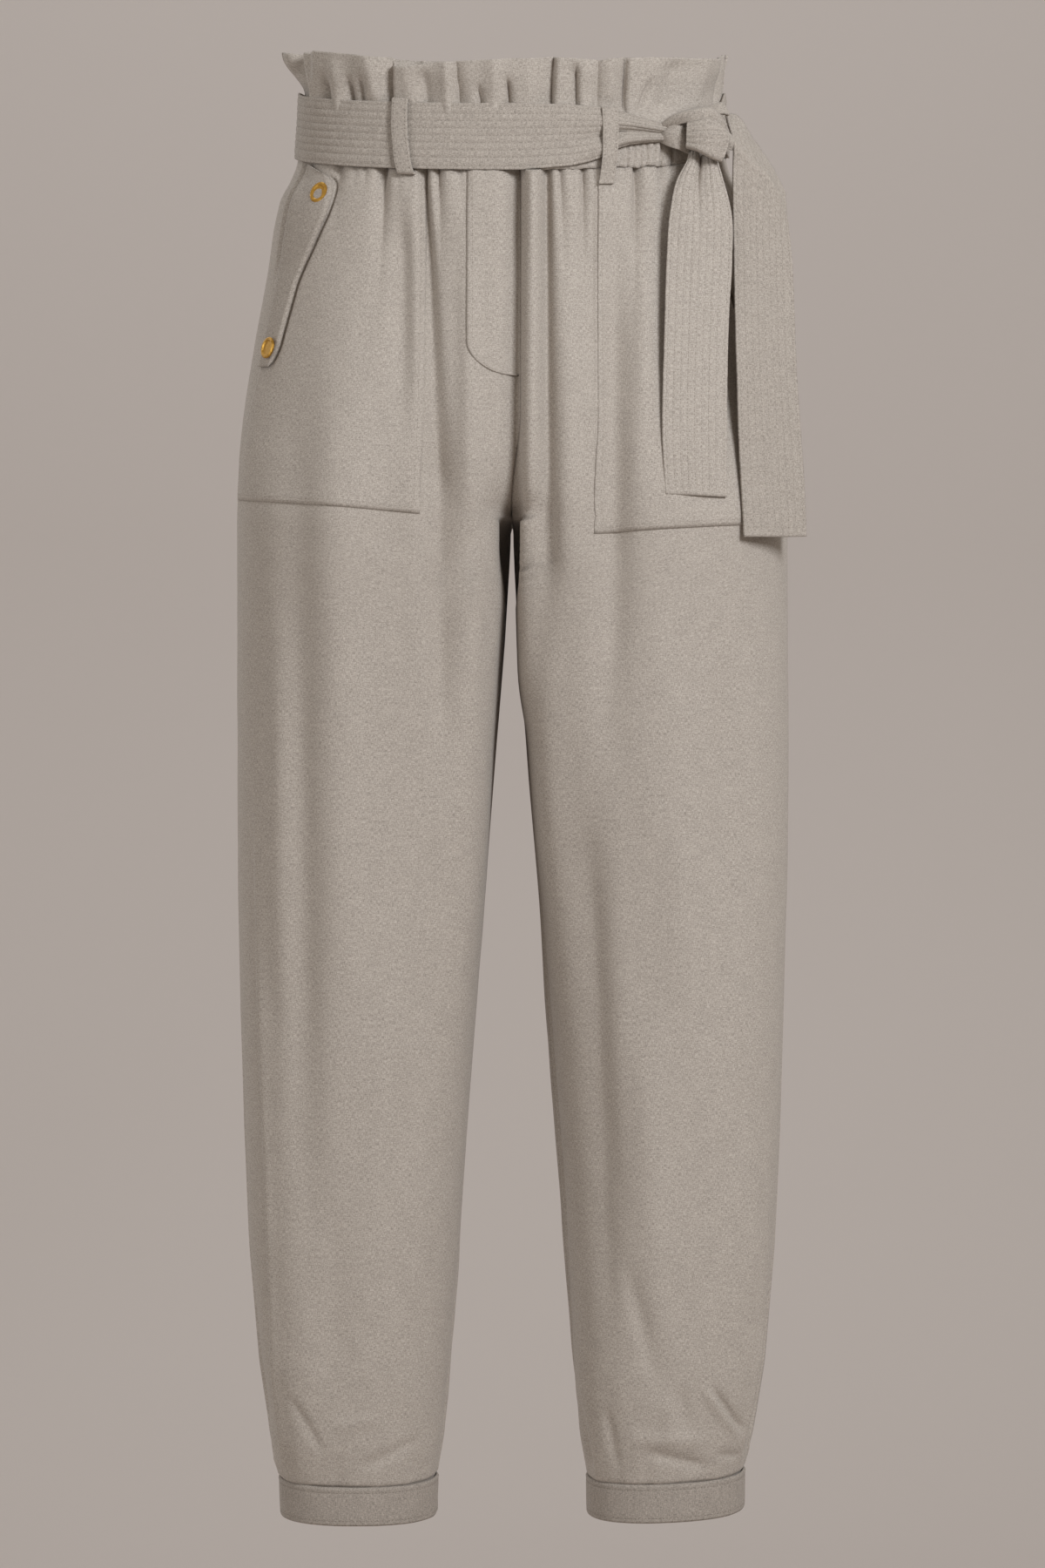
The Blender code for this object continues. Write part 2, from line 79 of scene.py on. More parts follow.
# z, outer edge, inner edge, depth in front, depth behind
SECTIONS = np.array([
    (0.09, 0.1425, -0.1425, 0.096, 0.096),
    (0.0226, 0.1425, -0.1425, 0.096, 0.096),
    (-0.0246, 0.1455, -0.1455, 0.0985, 0.0985),
    (-0.045, 0.1545, -0.1545, 0.1015, 0.1035),
    (-0.07, 0.1605, -0.1605, 0.1045, 0.11),
    (-0.1, 0.1665, -0.165, 0.1085, 0.118),
    (-0.14, 0.1738, -0.15, 0.112, 0.127),
    (-0.17, 0.178, -0.125, 0.1145, 0.131),
    (-0.2, 0.1815, -0.092, 0.1155, 0.133),
    (-0.225, 0.184, -0.058, 0.116, 0.131),
    (-0.248, 0.1852, -0.026, 0.116, 0.128),
    (-0.2685, 0.186, 0.0006, 0.116, 0.124),
    (-0.3, 0.1862, 0.0022, 0.113, 0.118),
    (-0.35, 0.1862, 0.0053, 0.105, 0.108),
    (-0.44, 0.187, 0.0125, 0.094, 0.096),
    (-0.52, 0.1868, 0.0188, 0.086, 0.088),
    (-0.6, 0.1852, 0.0248, 0.079, 0.08),
    (-0.68, 0.183, 0.0308, 0.075, 0.0755),
    (-0.76, 0.1795, 0.0365, 0.071, 0.0725),
    (-0.84, 0.1728, 0.0432, 0.064, 0.0655),
    (-0.89, 0.165, 0.0478, 0.056, 0.058),
    (-0.917, 0.1572, 0.0522, 0.049, 0.05),
    (-0.96, 0.1562, 0.0528, 0.048, 0.049),
])


def smooth(a, b, x):
    """0 at a, 1 at b, eased; a may be above b."""
    s = np.clip((np.asarray(x, float) - a) / (b - a), 0.0, 1.0)
    return s * s * (3.0 - 2.0 * s)


def bell(x, half):
    """1 at zero, falling away over the half width."""
    return np.exp(-((x / half) ** 2))


def curve(knots, values, x):
    """A smooth curve through a few points; knots rise."""
    knots, values = np.asarray(knots, float), np.asarray(values, float)
    slope = np.gradient(values, knots)
    x = np.clip(x, knots[0], knots[-1])
    i = np.clip(np.searchsorted(knots, x) - 1, 0, len(knots) - 2)
    span = knots[i + 1] - knots[i]
    s = (x - knots[i]) / span
    a = values[i] * (1 + 2 * s) * (1 - s) ** 2 + values[i + 1] * s * s * (3 - 2 * s)
    return a + span * (slope[i] * s * (1 - s) ** 2 - slope[i + 1] * s * s * (1 - s))


# rings are read from a fine lattice: height by share of the half ring
LEVELS = np.arange(-0.96, 0.0901, 0.0025)
SHARES = np.linspace(0.0, 1.0, 241)


def make_lattice(back):
    """Points and outward directions of the rings of one leg's front or back."""
    table = SECTIONS[::-1]
    cols = [np.interp(LEVELS, table[:, 0], table[:, k]) for k in range(1, 5)]
    soft = np.ones(5) / 5.0
    cols = [np.convolve(np.pad(c, 2, mode="edge"), soft, mode="valid") for c in cols]
    lattice = np.zeros((len(LEVELS), len(SHARES), 4))
    for i, (outer, inner, front, rear) in enumerate(zip(*cols)):
        mid, half = (outer + inner) / 2.0, (outer - inner) / 2.0
        deep = rear if back else -front
        near = SQUARE if back else np.interp(LEVELS[i], FLAT_Z, FLAT_SQUARE)
        start = math.acos(min(1.0, (mid / half) ** (near / 2.0))) if inner < 0.0 else 0.0
        a = np.linspace(start, math.pi, 361)
        c, s = np.cos(a), np.abs(np.sin(a))
        square = np.where(c > 0.0, near, SQUARE)
        x = mid - half * np.sign(c) * np.abs(c) ** (2.0 / square)
        y = deep * s ** (2.0 / square)
        # near the crotch the inner wall counts for less, so the columns run on evenly past it
        wall = 1.0 - 0.9 * bell(LEVELS[i] - CROTCH_Z, 0.055)
        wall = np.where(c[1:] > 0.35, wall, 1.0)
        run = np.concatenate([[0.0], np.cumsum(np.hypot(np.diff(x), np.diff(y) * wall))])
        run /= run[-1]
        px, py = np.interp(SHARES, run, x), np.interp(SHARES, run, y)
        dx, dy = np.gradient(px), np.gradient(py)
        size = np.hypot(dx, dy)
        sign = -1.0 if back else 1.0
        lattice[i] = np.stack([px, py, sign * dy / size, -sign * dx / size], axis=1)
    return lattice


LATTICE = {False: make_lattice(False), True: make_lattice(True)}


def ring_at(back, t, z):
    """x, y and the outward direction, for arrays of share and height."""
    t, z = np.broadcast_arrays(np.asarray(t, float), np.asarray(z, float))
    table = LATTICE[back]
    r = np.clip((z - LEVELS[0]) / (LEVELS[1] - LEVELS[0]), 0, len(LEVELS) - 1.001)
    c = np.clip(t * (len(SHARES) - 1), 0, len(SHARES) - 1.001)
    i, j = r.astype(int), c.astype(int)
    fr, fc = (r - i)[..., None], (c - j)[..., None]
    top = table[i, j] * (1 - fc) + table[i, j + 1] * fc
    low = table[i + 1, j] * (1 - fc) + table[i + 1, j + 1] * fc
    return np.moveaxis(top * (1 - fr) + low * fr, -1, 0)


def share(back, x, z):
    """Share of the half ring at which it reaches x, for arrays."""
    x, z = np.broadcast_arrays(np.asarray(x, float), np.asarray(z, float))
    out = np.zeros(x.shape)
    for k in np.ndindex(x.shape):
        i = int(np.clip(round((z[k] - LEVELS[0]) / (LEVELS[1] - LEVELS[0])), 0, len(LEVELS) - 1))
        row = LATTICE[back][i]
        out[k] = np.interp(x[k], row[:, 0], SHARES)
    return out


def bend(x, y, z):
    """The waist tips forward and the placket leans; both fade out down the hips."""
    near = smooth(-0.25, -0.06, z)
    tilt = np.where(y < 0.0, FRONT_TILT * y, BACK_TILT * y)
    lean = smooth(-0.262, -0.2, z) * smooth(0.03, -0.03, z) * smooth(0.0, -0.06, y)
    return x + FLY_SHIFT * bell(x, 0.06) * lean, y, z + tilt * near


def noise(u, v, seed):
    """Smooth noise of u and v with a unit lattice, about -1 to 1."""
    table = np.random.default_rng(seed).uniform(-1.0, 1.0, (64, 64))
    i, j = np.floor(u).astype(int), np.floor(v).astype(int)
    a, b = u - i, v - j
    a, b = a * a * (3 - 2 * a), b * b * (3 - 2 * b)
    i, j, i1, j1 = i % 64, j % 64, (i + 1) % 64, (j + 1) % 64
    top = table[i, j] * (1 - a) + table[i1, j] * a
    low = table[i, j1] * (1 - a) + table[i1, j1] * a
    return top * (1 - b) + low * b


# ---- folds ----
# short and long ones hang from the waist seam, the others run free; for each one x and z at its
# top, x and z at its end, half width at both, depth (negative stands out) and how much wider its
# flank towards the wearer's left is
FRONT_GATHERS = [
    (-0.134, -0.024, -0.137, -0.075, 0.0024, 0.006, 0.0022, 0.0),
    (-0.1145, -0.026, -0.1165, -0.095, 0.002, 0.008, 0.0052, 0.2),
    (-0.103, -0.028, -0.103, -0.062, 0.0018, 0.004, 0.0026, 0.0),
    (-0.0967, -0.03, -0.096, -0.066, 0.0018, 0.004, 0.003, 0.0),
    (-0.085, -0.03, -0.089, -0.2, 0.0022, 0.016, 0.008, 0.2),
    (-0.0745, -0.032, -0.074, -0.075, 0.002, 0.005, 0.0024, 0.0),
    (-0.0662, -0.032, -0.066, -0.07, 0.002, 0.005, 0.002, 0.0),
    (-0.0492, -0.03, -0.045, -0.17, 0.0018, 0.009, 0.006, 0.2),
    (-0.035, -0.032, -0.032, -0.078, 0.002, 0.0045, 0.0038, 0.0),
    (-0.029, -0.032, -0.029, -0.086, 0.0016, 0.004, 0.0022, 0.0),
    (-0.017, -0.032, -0.0175, -0.06, 0.0016, 0.004, 0.0014, 0.0),
    (0.0315, -0.032, 0.0366, -0.16, 0.002, 0.007, 0.0045, 0.0),
    (0.04, -0.032, 0.0405, -0.075, 0.0016, 0.004, 0.0022, 0.0),
    (0.047, -0.03, 0.047, -0.2, 0.0022, 0.009, 0.0062, 0.2),
    (0.0545, -0.032, 0.0535, -0.08, 0.0016, 0.004, 0.0022, 0.0),
    (0.064, -0.03, 0.064, -0.07, 0.0018, 0.004, 0.0022, 0.0),
    (0.0745, -0.028, 0.074, -0.075, 0.002, 0.0045, 0.0032, 0.0),
    (0.083, -0.028, 0.078, -0.26, 0.0026, 0.015, 0.0078, 0.2),
    (0.092, -0.028, 0.092, -0.065, 0.0018, 0.004, 0.0026, 0.0),
    (0.0985, -0.027, 0.099, -0.12, 0.0022, 0.008, 0.0046, 0.0),
    (0.106, -0.026, 0.106, -0.07, 0.0018, 0.004, 0.0022, 0.0),
    (0.123, -0.024, 0.124, -0.1, 0.0024, 0.008, 0.0036, 0.0),
]
FRONT_LONG = [
    (-0.0588, -0.03, -0.047, -0.27, 0.003, 0.0085, 0.0098, 0.0),
    (0.0052, -0.03, 0.0026, -0.33, 0.0052, 0.0062, 0.0125, -0.45),
    (0.014, -0.03, 0.012, -0.42, 0.0044, 0.008, -0.007, 0.0),
    (0.0232, -0.03, 0.024, -0.34, 0.0034, 0.007, 0.0088, 0.0),
]
FRONT_RUNS = [
    (-0.0596, -0.04, -0.0596, -0.278, 0.0016, 0.0016, 0.0014, 0.0),
    (0.0375, -0.06, 0.037, -0.38, 0.0065, 0.0095, -0.0034, 0.0),
    (0.0536, -0.03, 0.0536, -0.292, 0.0016, 0.0016, 0.0016, 0.0),
    (-0.141, -0.16, -0.135, -0.86, 0.013, 0.016, 0.0048, 0.0),
    (-0.08, -0.5, -0.082, -0.88, 0.015, 0.019, -0.0028, 0.0),
    (-0.152, -0.3, -0.15, -0.76, 0.008, 0.008, -0.003, 0.0),
    (-0.0733, -0.04, -0.072, -0.24, 0.0065, 0.009, 0.006, 0.0),
    (-0.111, -0.05, -0.112, -0.76, 0.02, 0.023, -0.006, 0.0),
    (-0.047, -0.18, -0.044, -0.48, 0.008, 0.011, 0.008, 0.0),
    (-0.029, -0.05, -0.025, -0.48, 0.006, 0.009, -0.0048, 0.0),
    (0.07, -0.03, 0.065, -0.46, 0.0085, 0.012, 0.0095, 0.0),
    (0.085, -0.05, 0.086, -0.26, 0.007, 0.009, -0.0036, 0.0),
    (0.091, -0.27, 0.093, -0.56, 0.014, 0.018, -0.0032, 0.0),
    (0.024, -0.3, 0.03, -0.56, 0.009, 0.012, -0.003, 0.0),
    (-0.029, -0.3, -0.037, -0.7, 0.01, 0.011, -0.0028, 0.0),
    (-0.061, -0.3, -0.068, -0.76, 0.012, 0.014, 0.0026, 0.2),
    (-0.07, -0.6, -0.085, -0.86, 0.012, 0.014, 0.0022, 0.0),
    (-0.115, -0.7, -0.118, -0.89, 0.01, 0.012, 0.002, 0.0),
    (-0.018, -0.27, -0.056, -0.335, 0.006, 0.01, 0.0018, 0.0),
    (0.11, -0.3, 0.112, -0.72, 0.014, 0.02, -0.0028, 0.0),
    (0.142, -0.34, 0.139, -0.6, 0.01, 0.016, 0.0028, 0.0),
    (0.044, -0.4, 0.064, -0.88, 0.018, 0.022, 0.0085, -0.3),
    (0.09, -0.56, 0.098, -0.85, 0.012, 0.014, -0.003, 0.0),
    (0.0746, -0.76, 0.104, -0.875, 0.006, 0.008, 0.0026, 0.2),
    (0.112, -0.846, 0.118, -0.885, 0.004, 0.005, 0.0014, 0.0),
    (0.064, -0.86, 0.072, -0.912, 0.003, 0.0035, 0.002, 0.0),
]
BACK_GATHERS = [
    (-0.124, -0.02, -0.127, -0.09, 0.003, 0.008, 0.003, 0.0),
    (-0.106, -0.02, -0.109, -0.15, 0.003, 0.012, 0.0045, 0.2),
    (-0.09, -0.02, -0.091, -0.07, 0.0022, 0.005, 0.0022, 0.0),
    (-0.074, -0.02, -0.077, -0.2, 0.003, 0.014, 0.0052, -0.2),
    (-0.059, -0.02, -0.059, -0.08, 0.0022, 0.005, 0.0025, 0.0),
    (-0.043, -0.02, -0.04, -0.15, 0.0028, 0.01, 0.0045, 0.2),
    (-0.026, -0.02, -0.0265, -0.085, 0.002, 0.006, 0.0028, 0.0),
    (-0.012, -0.02, -0.013, -0.06, 0.0018, 0.004, 0.0018, 0.0),
    (0.015, -0.02, 0.0155, -0.1, 0.0022, 0.006, 0.003, 0.0),
    (0.031, -0.02, 0.034, -0.17, 0.0028, 0.011, 0.0048, -0.2),
    (0.047, -0.02, 0.047, -0.07, 0.002, 0.005, 0.0022, 0.0),
    (0.064, -0.02, 0.067, -0.19, 0.003, 0.014, 0.0052, 0.2),
    (0.082, -0.02, 0.083, -0.085, 0.0022, 0.006, 0.0026, 0.0),
    (0.099, -0.02, 0.102, -0.14, 0.0028, 0.011, 0.0042, 0.0),
    (0.119, -0.02, 0.122, -0.08, 0.0026, 0.007, 0.0028, 0.0),
]
BACK_LONG = [
    (0.0, -0.02, 0.0, -0.285, 0.0028, 0.008, 0.004, 0.0),
]
BACK_RUNS = [
    (-0.035, -0.275, -0.1, -0.32, 0.007, 0.012, 0.0036, 0.0),
    (-0.025, -0.3, -0.09, -0.385, 0.007, 0.013, 0.0034, 0.2),
    (0.035, -0.272, 0.105, -0.312, 0.007, 0.012, 0.0034, 0.0),
    (0.025, -0.302, 0.085, -0.372, 0.007, 0.013, 0.0036, -0.2),
    (-0.13, -0.33, -0.125, -0.62, 0.013, 0.018, 0.003, 0.2),
    (-0.085, -0.4, -0.088, -0.74, 0.013, 0.018, -0.0028, 0.0),
    (-0.05, -0.42, -0.06, -0.64, 0.009, 0.013, 0.0026, 0.0),
    (0.136, -0.31, 0.132, -0.56, 0.012, 0.017, 0.003, -0.2),
    (0.095, -0.42, 0.093, -0.78, 0.013, 0.018, -0.0028, 0.0),
    (0.056, -0.44, 0.064, -0.66, 0.009, 0.013, 0.0026, 0.0),
    (-0.07, -0.6, -0.12, -0.67, 0.008, 0.011, 0.0024, 0.0),
    (0.068, -0.585, 0.125, -0.65, 0.008, 0.011, 0.0024, 0.0),
    (-0.09, -0.78, -0.115, -0.89, 0.007, 0.009, 0.0024, 0.0),
    (0.088, -0.77, 0.116, -0.88, 0.007, 0.009, 0.0024, 0.0),
]
# inner edge of the facing along the pocket's mouth: z and share of the ring, and the length of
# cloth that a whole share stands for there
SHARE_LENGTH = 0.21
FACING_Z = [-0.162, -0.15, -0.13, -0.112, -0.098, -0.086, -0.073, -0.06, -0.05,
            -0.04, -0.032, -0.028, -0.024, -0.0205]
FACING_T = [0.742, 0.72, 0.707, 0.697, 0.687, 0.669, 0.645, 0.624, 0.609, 0.608, 0.62, 0.64,
            0.682, 0.765]
# short creases by the hems: side, back, x and z of both ends, half width, depth
SLANTS = [
    (1, False, 0.1275, -0.848, 0.1505, -0.886, 0.0034, -0.0022),
    (1, False, 0.133, -0.849, 0.156, -0.885, 0.0028, 0.0032),
    (1, False, 0.104, -0.855, 0.106, -0.89, 0.0045, -0.0014),
    (1, False, 0.079, -0.885, 0.129, -0.888, 0.005, -0.0015),
    (1, False, 0.09, -0.894, 0.131, -0.906, 0.0036, 0.0024),
    (1, False, 0.137, -0.8985, 0.154, -0.9025, 0.0024, 0.002),
    (1, False, 0.047, -0.864, 0.0555, -0.912, 0.0018, 0.0028),
    (-1, False, -0.06, -0.885, -0.101, -0.903, 0.004, 0.0018),
    (-1, False, -0.148, -0.856, -0.127, -0.893, 0.0034, 0.0018),
    (-1, False, -0.088, -0.87, -0.12, -0.876, 0.005, -0.0012),
    (1, True, 0.07, -0.872, 0.118, -0.895, 0.0045, 0.0022),
    (-1, True, -0.08, -0.869, -0.126, -0.89, 0.0045, 0.002),
    (1, True, 0.125, -0.848, 0.148, -0.886, 0.0038, 0.0022),
    (-1, True, -0.122, -0.842, -0.148, -0.88, 0.0038, 0.002),
]
# lap down the outside of each leg, front and back: side, back, then z, x and set-back
LAPS = [
    (-1, False, [-0.905, -0.88, -0.852, -0.812, -0.76, -0.693, -0.641, -0.587, -0.52, -0.45],
     [0.155, 0.157, 0.16, 0.1612, 0.1633, 0.1662, 0.1683, 0.17, 0.1717, 0.1725],
     [0.0004, 0.0036, 0.0046, 0.0044, 0.0042, 0.004, 0.0036, 0.003, 0.0016, 0.0]),
    (-1, True, [-0.905, -0.87, -0.8, -0.7, -0.6, -0.5],
     [0.15, 0.154, 0.159, 0.165, 0.169, 0.17],
     [0.0004, 0.0036, 0.004, 0.0034, 0.0018, 0.0]),
    (1, False, [-0.908, -0.885, -0.85, -0.815, -0.77, -0.7],
     [0.1555, 0.159, 0.165, 0.17, 0.1735, 0.175],
     [0.0005, 0.0055, 0.006, 0.004, 0.0018, 0.0]),
    (1, True, [-0.905, -0.87, -0.8, -0.7, -0.56],
     [0.15, 0.154, 0.159, 0.164, 0.169],
     [0.0004, 0.0036, 0.004, 0.003, 0.0]),
]


def relief(side, back, x, z):
    """How far the cloth stands off its plain form, from where it is once bent."""
    out = np.zeros(np.shape(x))

    def fold(row, size, sharp, scale):
        """One fold: its size runs with s from its top to its end, and top fades it in."""
        x0, z0, x1, z1, w0, w1, deep, lean = row
        s = np.clip((z0 - z) / (z0 - z1), 0.0, 1.0)
        d = x - (x0 + (x1 - x0) * s)
        w = (w0 + (w1 - w0) * s) * np.where(d > 0.0, 1.0 + lean, 1.0 - lean)
        top = smooth(z0 + 0.02, z0 + 0.004, z)
        return -deep * scale * size(s, top) * np.exp(-(np.abs(d / w) ** sharp))

    for row in BACK_GATHERS if back else FRONT_GATHERS:
        out += fold(row, lambda s, top: (1.0 - s) ** 2.2 * top, 1.35, GATHER_DEPTH)
    for row in BACK_LONG if back else FRONT_LONG:
        out += fold(row, lambda s, top: (1.0 - 0.35 * s) * smooth(1.0, 0.86, s) * top, 2.0, 1.0)
    for row in BACK_RUNS if back else FRONT_RUNS:
        out += fold(row, lambda s, top: smooth(0.0, 0.35, s) * smooth(1.0, 0.55, s), 2.0,
                    BACK_RUN_DEPTH if back else 1.0)
    for slant_side, slant_back, x0, z0, x1, z1, wide, deep in SLANTS:
        if slant_side == side and slant_back == back:
            size = math.hypot(x1 - x0, z1 - z0)
            s = ((x - x0) * (x1 - x0) + (z - z0) * (z1 - z0)) / size ** 2
            d = ((x - x0) * (z1 - z0) - (z - z0) * (x1 - x0)) / size
            out -= deep * smooth(-0.1, 0.3, s) * smooth(1.1, 0.75, s) * bell(d, wide)
    for lap_side, lap_back, zs, xs, deep in LAPS:
        if lap_side == side and lap_back == back:
            line, size = curve(zs, xs, z), curve(zs, deep, z)
            d = np.abs(x) - line
            size = size * (z > zs[0]) * (z < zs[-1])
            lip = 0.25 * size * bell(d + 0.0015, 0.0035)
            out -= size * smooth(-0.0006, 0.0012, d) * smooth(0.03, 0.008, d) - lip
    # the slack of a linen leg: long uneven undulations and a few small knocks
    seed = 11 + 2 * side + (40 if back else 0)
    hang = smooth(-0.05, -0.16, z)
    low = smooth(-0.55, -0.85, z)
    out += 0.0018 * hang * noise(x / 0.03 + 7.0, z / 0.21 + 3.0, seed)
    out += 0.0006 * hang * noise(x / 0.016 + z / 0.25, z / 0.075 + 9.0, seed + 1)
    out += 0.0003 * (0.4 + low) * hang * noise(x / 0.0105 + z / 0.06, z / 0.026, seed + 2)
    # the gathers puff out under the waist seam
    if not back:
        out += 0.002 * smooth(-0.036, -0.052, z) * smooth(-0.105, -0.06, z)
    # the cuff seam draws the cloth in
    seam = smooth(-0.872, -0.912, z)
    out += 0.0008 * seam * noise(x / 0.0065, z / 0.08, seed + 3)
    return out


def askew(side, x, y, z):
    """Hems dip at front and back, and the wearer's left hem hangs higher at its outside."""
    low = smooth(-0.84, -0.912, z)
    dip = -HEM_DIP * smooth(0.0, 0.05, np.abs(y)) * low
    if side < 0:
        return dip
    return dip + HEM_LIFT * np.clip((x - 0.053) / 0.104, 0.0, 1.0) * low


def on_body(side, back, t, z, out=0.0):
    """Points on the cloth of one leg's front or back, out from its middle surface."""
    t, z = np.broadcast_arrays(np.asarray(t, float), np.asarray(z, float))
    x, y, nx, ny = ring_at(back, t, z)
    # under the crotch the inner wall stands straight, so the cloth in front runs on to the gap
    near = smooth(CROTCH_Z + 0.004, CROTCH_Z - 0.004, z) * smooth(-0.64, -0.46, z)
    inner = x - ring_at(back, 0.0, z)[0]
    x = x - 0.72 * near * inner * np.exp(-(inner / 0.014) ** 2)
    fx, _, fz = bend(side * x, y, z)
    deep = relief(side, back, fx, fz) * smooth(1.0, 0.975, t)
    deep = deep * np.where(fz < CROTCH_Z, smooth(0.0, 0.03, t), 1.0)
    if not back:
        # the pocket gapes a little behind its facing
        gape = smooth(0.786, 0.796, t) * smooth(0.846, 0.832, t)
        deep = deep - 0.0034 * gape * smooth(-0.105, -0.07, z)
        # and is pressed down along the facing's free edge
        beside = (curve(FACING_Z, FACING_T, z) - 0.004 - t) * SHARE_LENGTH
        pressed = smooth(-0.165, -0.155, z) * smooth(-0.024, -0.03, z)
        deep = deep - 0.004 * bell(beside, 0.0015) * pressed
    # each edge turns in where it meets its neighbour, so a seam is a fine groove
    deep = deep - 0.0008 * bell(np.minimum(t, 1.0 - t) * 0.23, 0.0014)
    d = deep + out
    # over the crotch both legs' panels meet on the centre, so there they only move in depth
    nx = nx * np.where(fz > CROTCH_Z - 0.004, smooth(0.0, 0.1, t), 1.0)
    x = np.maximum(x + nx * d, SEAM / 2)
    y = y + ny * d
    y = np.maximum(y, SEAM / 2) if back else np.minimum(y, -SEAM / 2)
    return np.stack(bend(side * x, y, z + askew(side, x, y, z)), axis=-1)


# ---- meshes ----
def normals_of(grid):
    """Outward direction at each point of a grid."""
    n = np.cross(np.gradient(grid, axis=1), -np.gradient(grid, axis=0))
    return n / np.maximum(np.linalg.norm(n, axis=-1, keepdims=True), 1e-12)


def add_mesh(name, verts, faces, uvs, mat):
    """A smooth-shaded mesh object, with cloth coordinates if there are any."""
    mesh = bpy.data.meshes.new(name)
    mesh.from_pydata(np.asarray(verts).tolist(), [], np.asarray(faces).tolist())
    if uvs is not None:
        layer = mesh.uv_layers.new(name="cloth")
        index = np.zeros(len(mesh.loops), dtype=np.int32)
        mesh.loops.foreach_get("vertex_index", index)
        layer.data.foreach_set("uv", np.asarray(uvs, dtype=np.float32)[index].ravel())
    mesh.materials.append(mat)
    mesh.shade_smooth()
    obj = bpy.data.objects.new(name, mesh)
    bpy.context.scene.collection.objects.link(obj)
    return obj


def arc_uv(grid):
    """Cloth coordinates in metres: along each row, and down the columns."""
    across = np.linalg.norm(np.diff(grid, axis=1), axis=2)
    u = np.concatenate([np.zeros((len(grid), 1)), np.cumsum(across, axis=1)], axis=1)
    u -= u[:, [u.shape[1] // 2]]
    down = np.linalg.norm(np.diff(grid, axis=0), axis=2).mean(axis=1)
    v = np.concatenate([[0.0], np.cumsum(down)])
    return np.stack([u, np.broadcast_to(-v[:, None], u.shape)], axis=-1)


def cloth(name, grid, wall, mat, node, turn=False, closed=False):
    """A sheet of cloth on a grid of points (rows down, columns across), given its wall."""
    rows, cols = grid.shape[:2]
    uv = arc_uv(grid)
    if turn:
        uv = uv[..., ::-1]
    i, j = np.meshgrid(np.arange(rows - 1), np.arange(cols if closed else cols - 1),
                       indexing="ij")
    k = (j + 1) % cols
    quads = np.stack([i * cols + j, (i + 1) * cols + j, (i + 1) * cols + k, i * cols + k],
                     axis=-1).reshape(-1, 4)
    obj = add_mesh(name, grid.reshape(-1, 3), quads, uv.reshape(-1, 2), mat)
    wall_mod = obj.modifiers.new("wall", "SOLIDIFY")
    wall_mod.thickness = wall
    wall_mod.offset = 0.0
    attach(obj, "root")
    if node:
        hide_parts(node)
    return obj


def stitches(name, paths, mat, step=0.0024, length=0.0015, r=0.00017):
    """Rows of short raised threads; a path is points and the outward direction at each."""
    verts, faces = [], []
    ring = [(math.cos(a), math.sin(a)) for a in np.arange(4) * math.pi / 2 + math.pi / 4]
    for points, normals in paths:
        run = np.concatenate([[0.0], np.cumsum(np.linalg.norm(np.diff(points, axis=0), axis=1))])
        for s in np.arange(step * 0.5, run[-1] - length * 0.5, step):
            ends = [np.array([np.interp(s + e * length, run, points[:, k]) for k in range(3)])
                    for e in (-0.5, 0.5)]
            n = np.array([np.interp(s, run, normals[:, k]) for k in range(3)])
            d = ends[1] - ends[0]
            d /= max(np.linalg.norm(d), 1e-9)
            b = np.cross(d, n)
            b /= max(np.linalg.norm(b), 1e-9)
            n = np.cross(b, d)
            base = len(verts)
            verts.append(ends[0] - n * r)
            for e in (0.28, 0.72):
                mid = ends[0] * (1 - e) + ends[1] * e + n * r * 0.5
                verts += [mid + (b * c + n * q) * r for c, q in ring]
            verts.append(ends[1] - n * r)
            for k in range(4):
                q = (k + 1) % 4
                faces.append((base, base + 1 + q, base + 1 + k))
                faces.append((base + 1 + k, base + 1 + q, base + 5 + q))
                faces.append((base + 1 + k, base + 5 + q, base + 5 + k))
                faces.append((base + 9, base + 5 + k, base + 5 + q))
    obj = add_mesh(name, verts, faces, None, mat)
    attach(obj, "root")


def line_on(grid, path_uv, lift):
    """A path over a grid, given as fractional rows and columns, lifted along its normals."""
    n = normals_of(grid)
    out, ns = [], []
    for r, c in path_uv:
        i = min(int(r), grid.shape[0] - 2)
        j = min(int(c), grid.shape[1] - 2)
        a, b = r - i, c - j
        mix = [(1 - a) * (1 - b), (1 - a) * b, a * (1 - b), a * b]
        at = [(i, j), (i, j + 1), (i + 1, j), (i + 1, j + 1)]
        nn = sum(m * n[k] for m, k in zip(mix, at))
        nn /= np.linalg.norm(nn)
        out.append(sum(m * grid[k] for m, k in zip(mix, at)) + nn * lift)
        ns.append(nn)
    return np.array(out), np.array(ns)


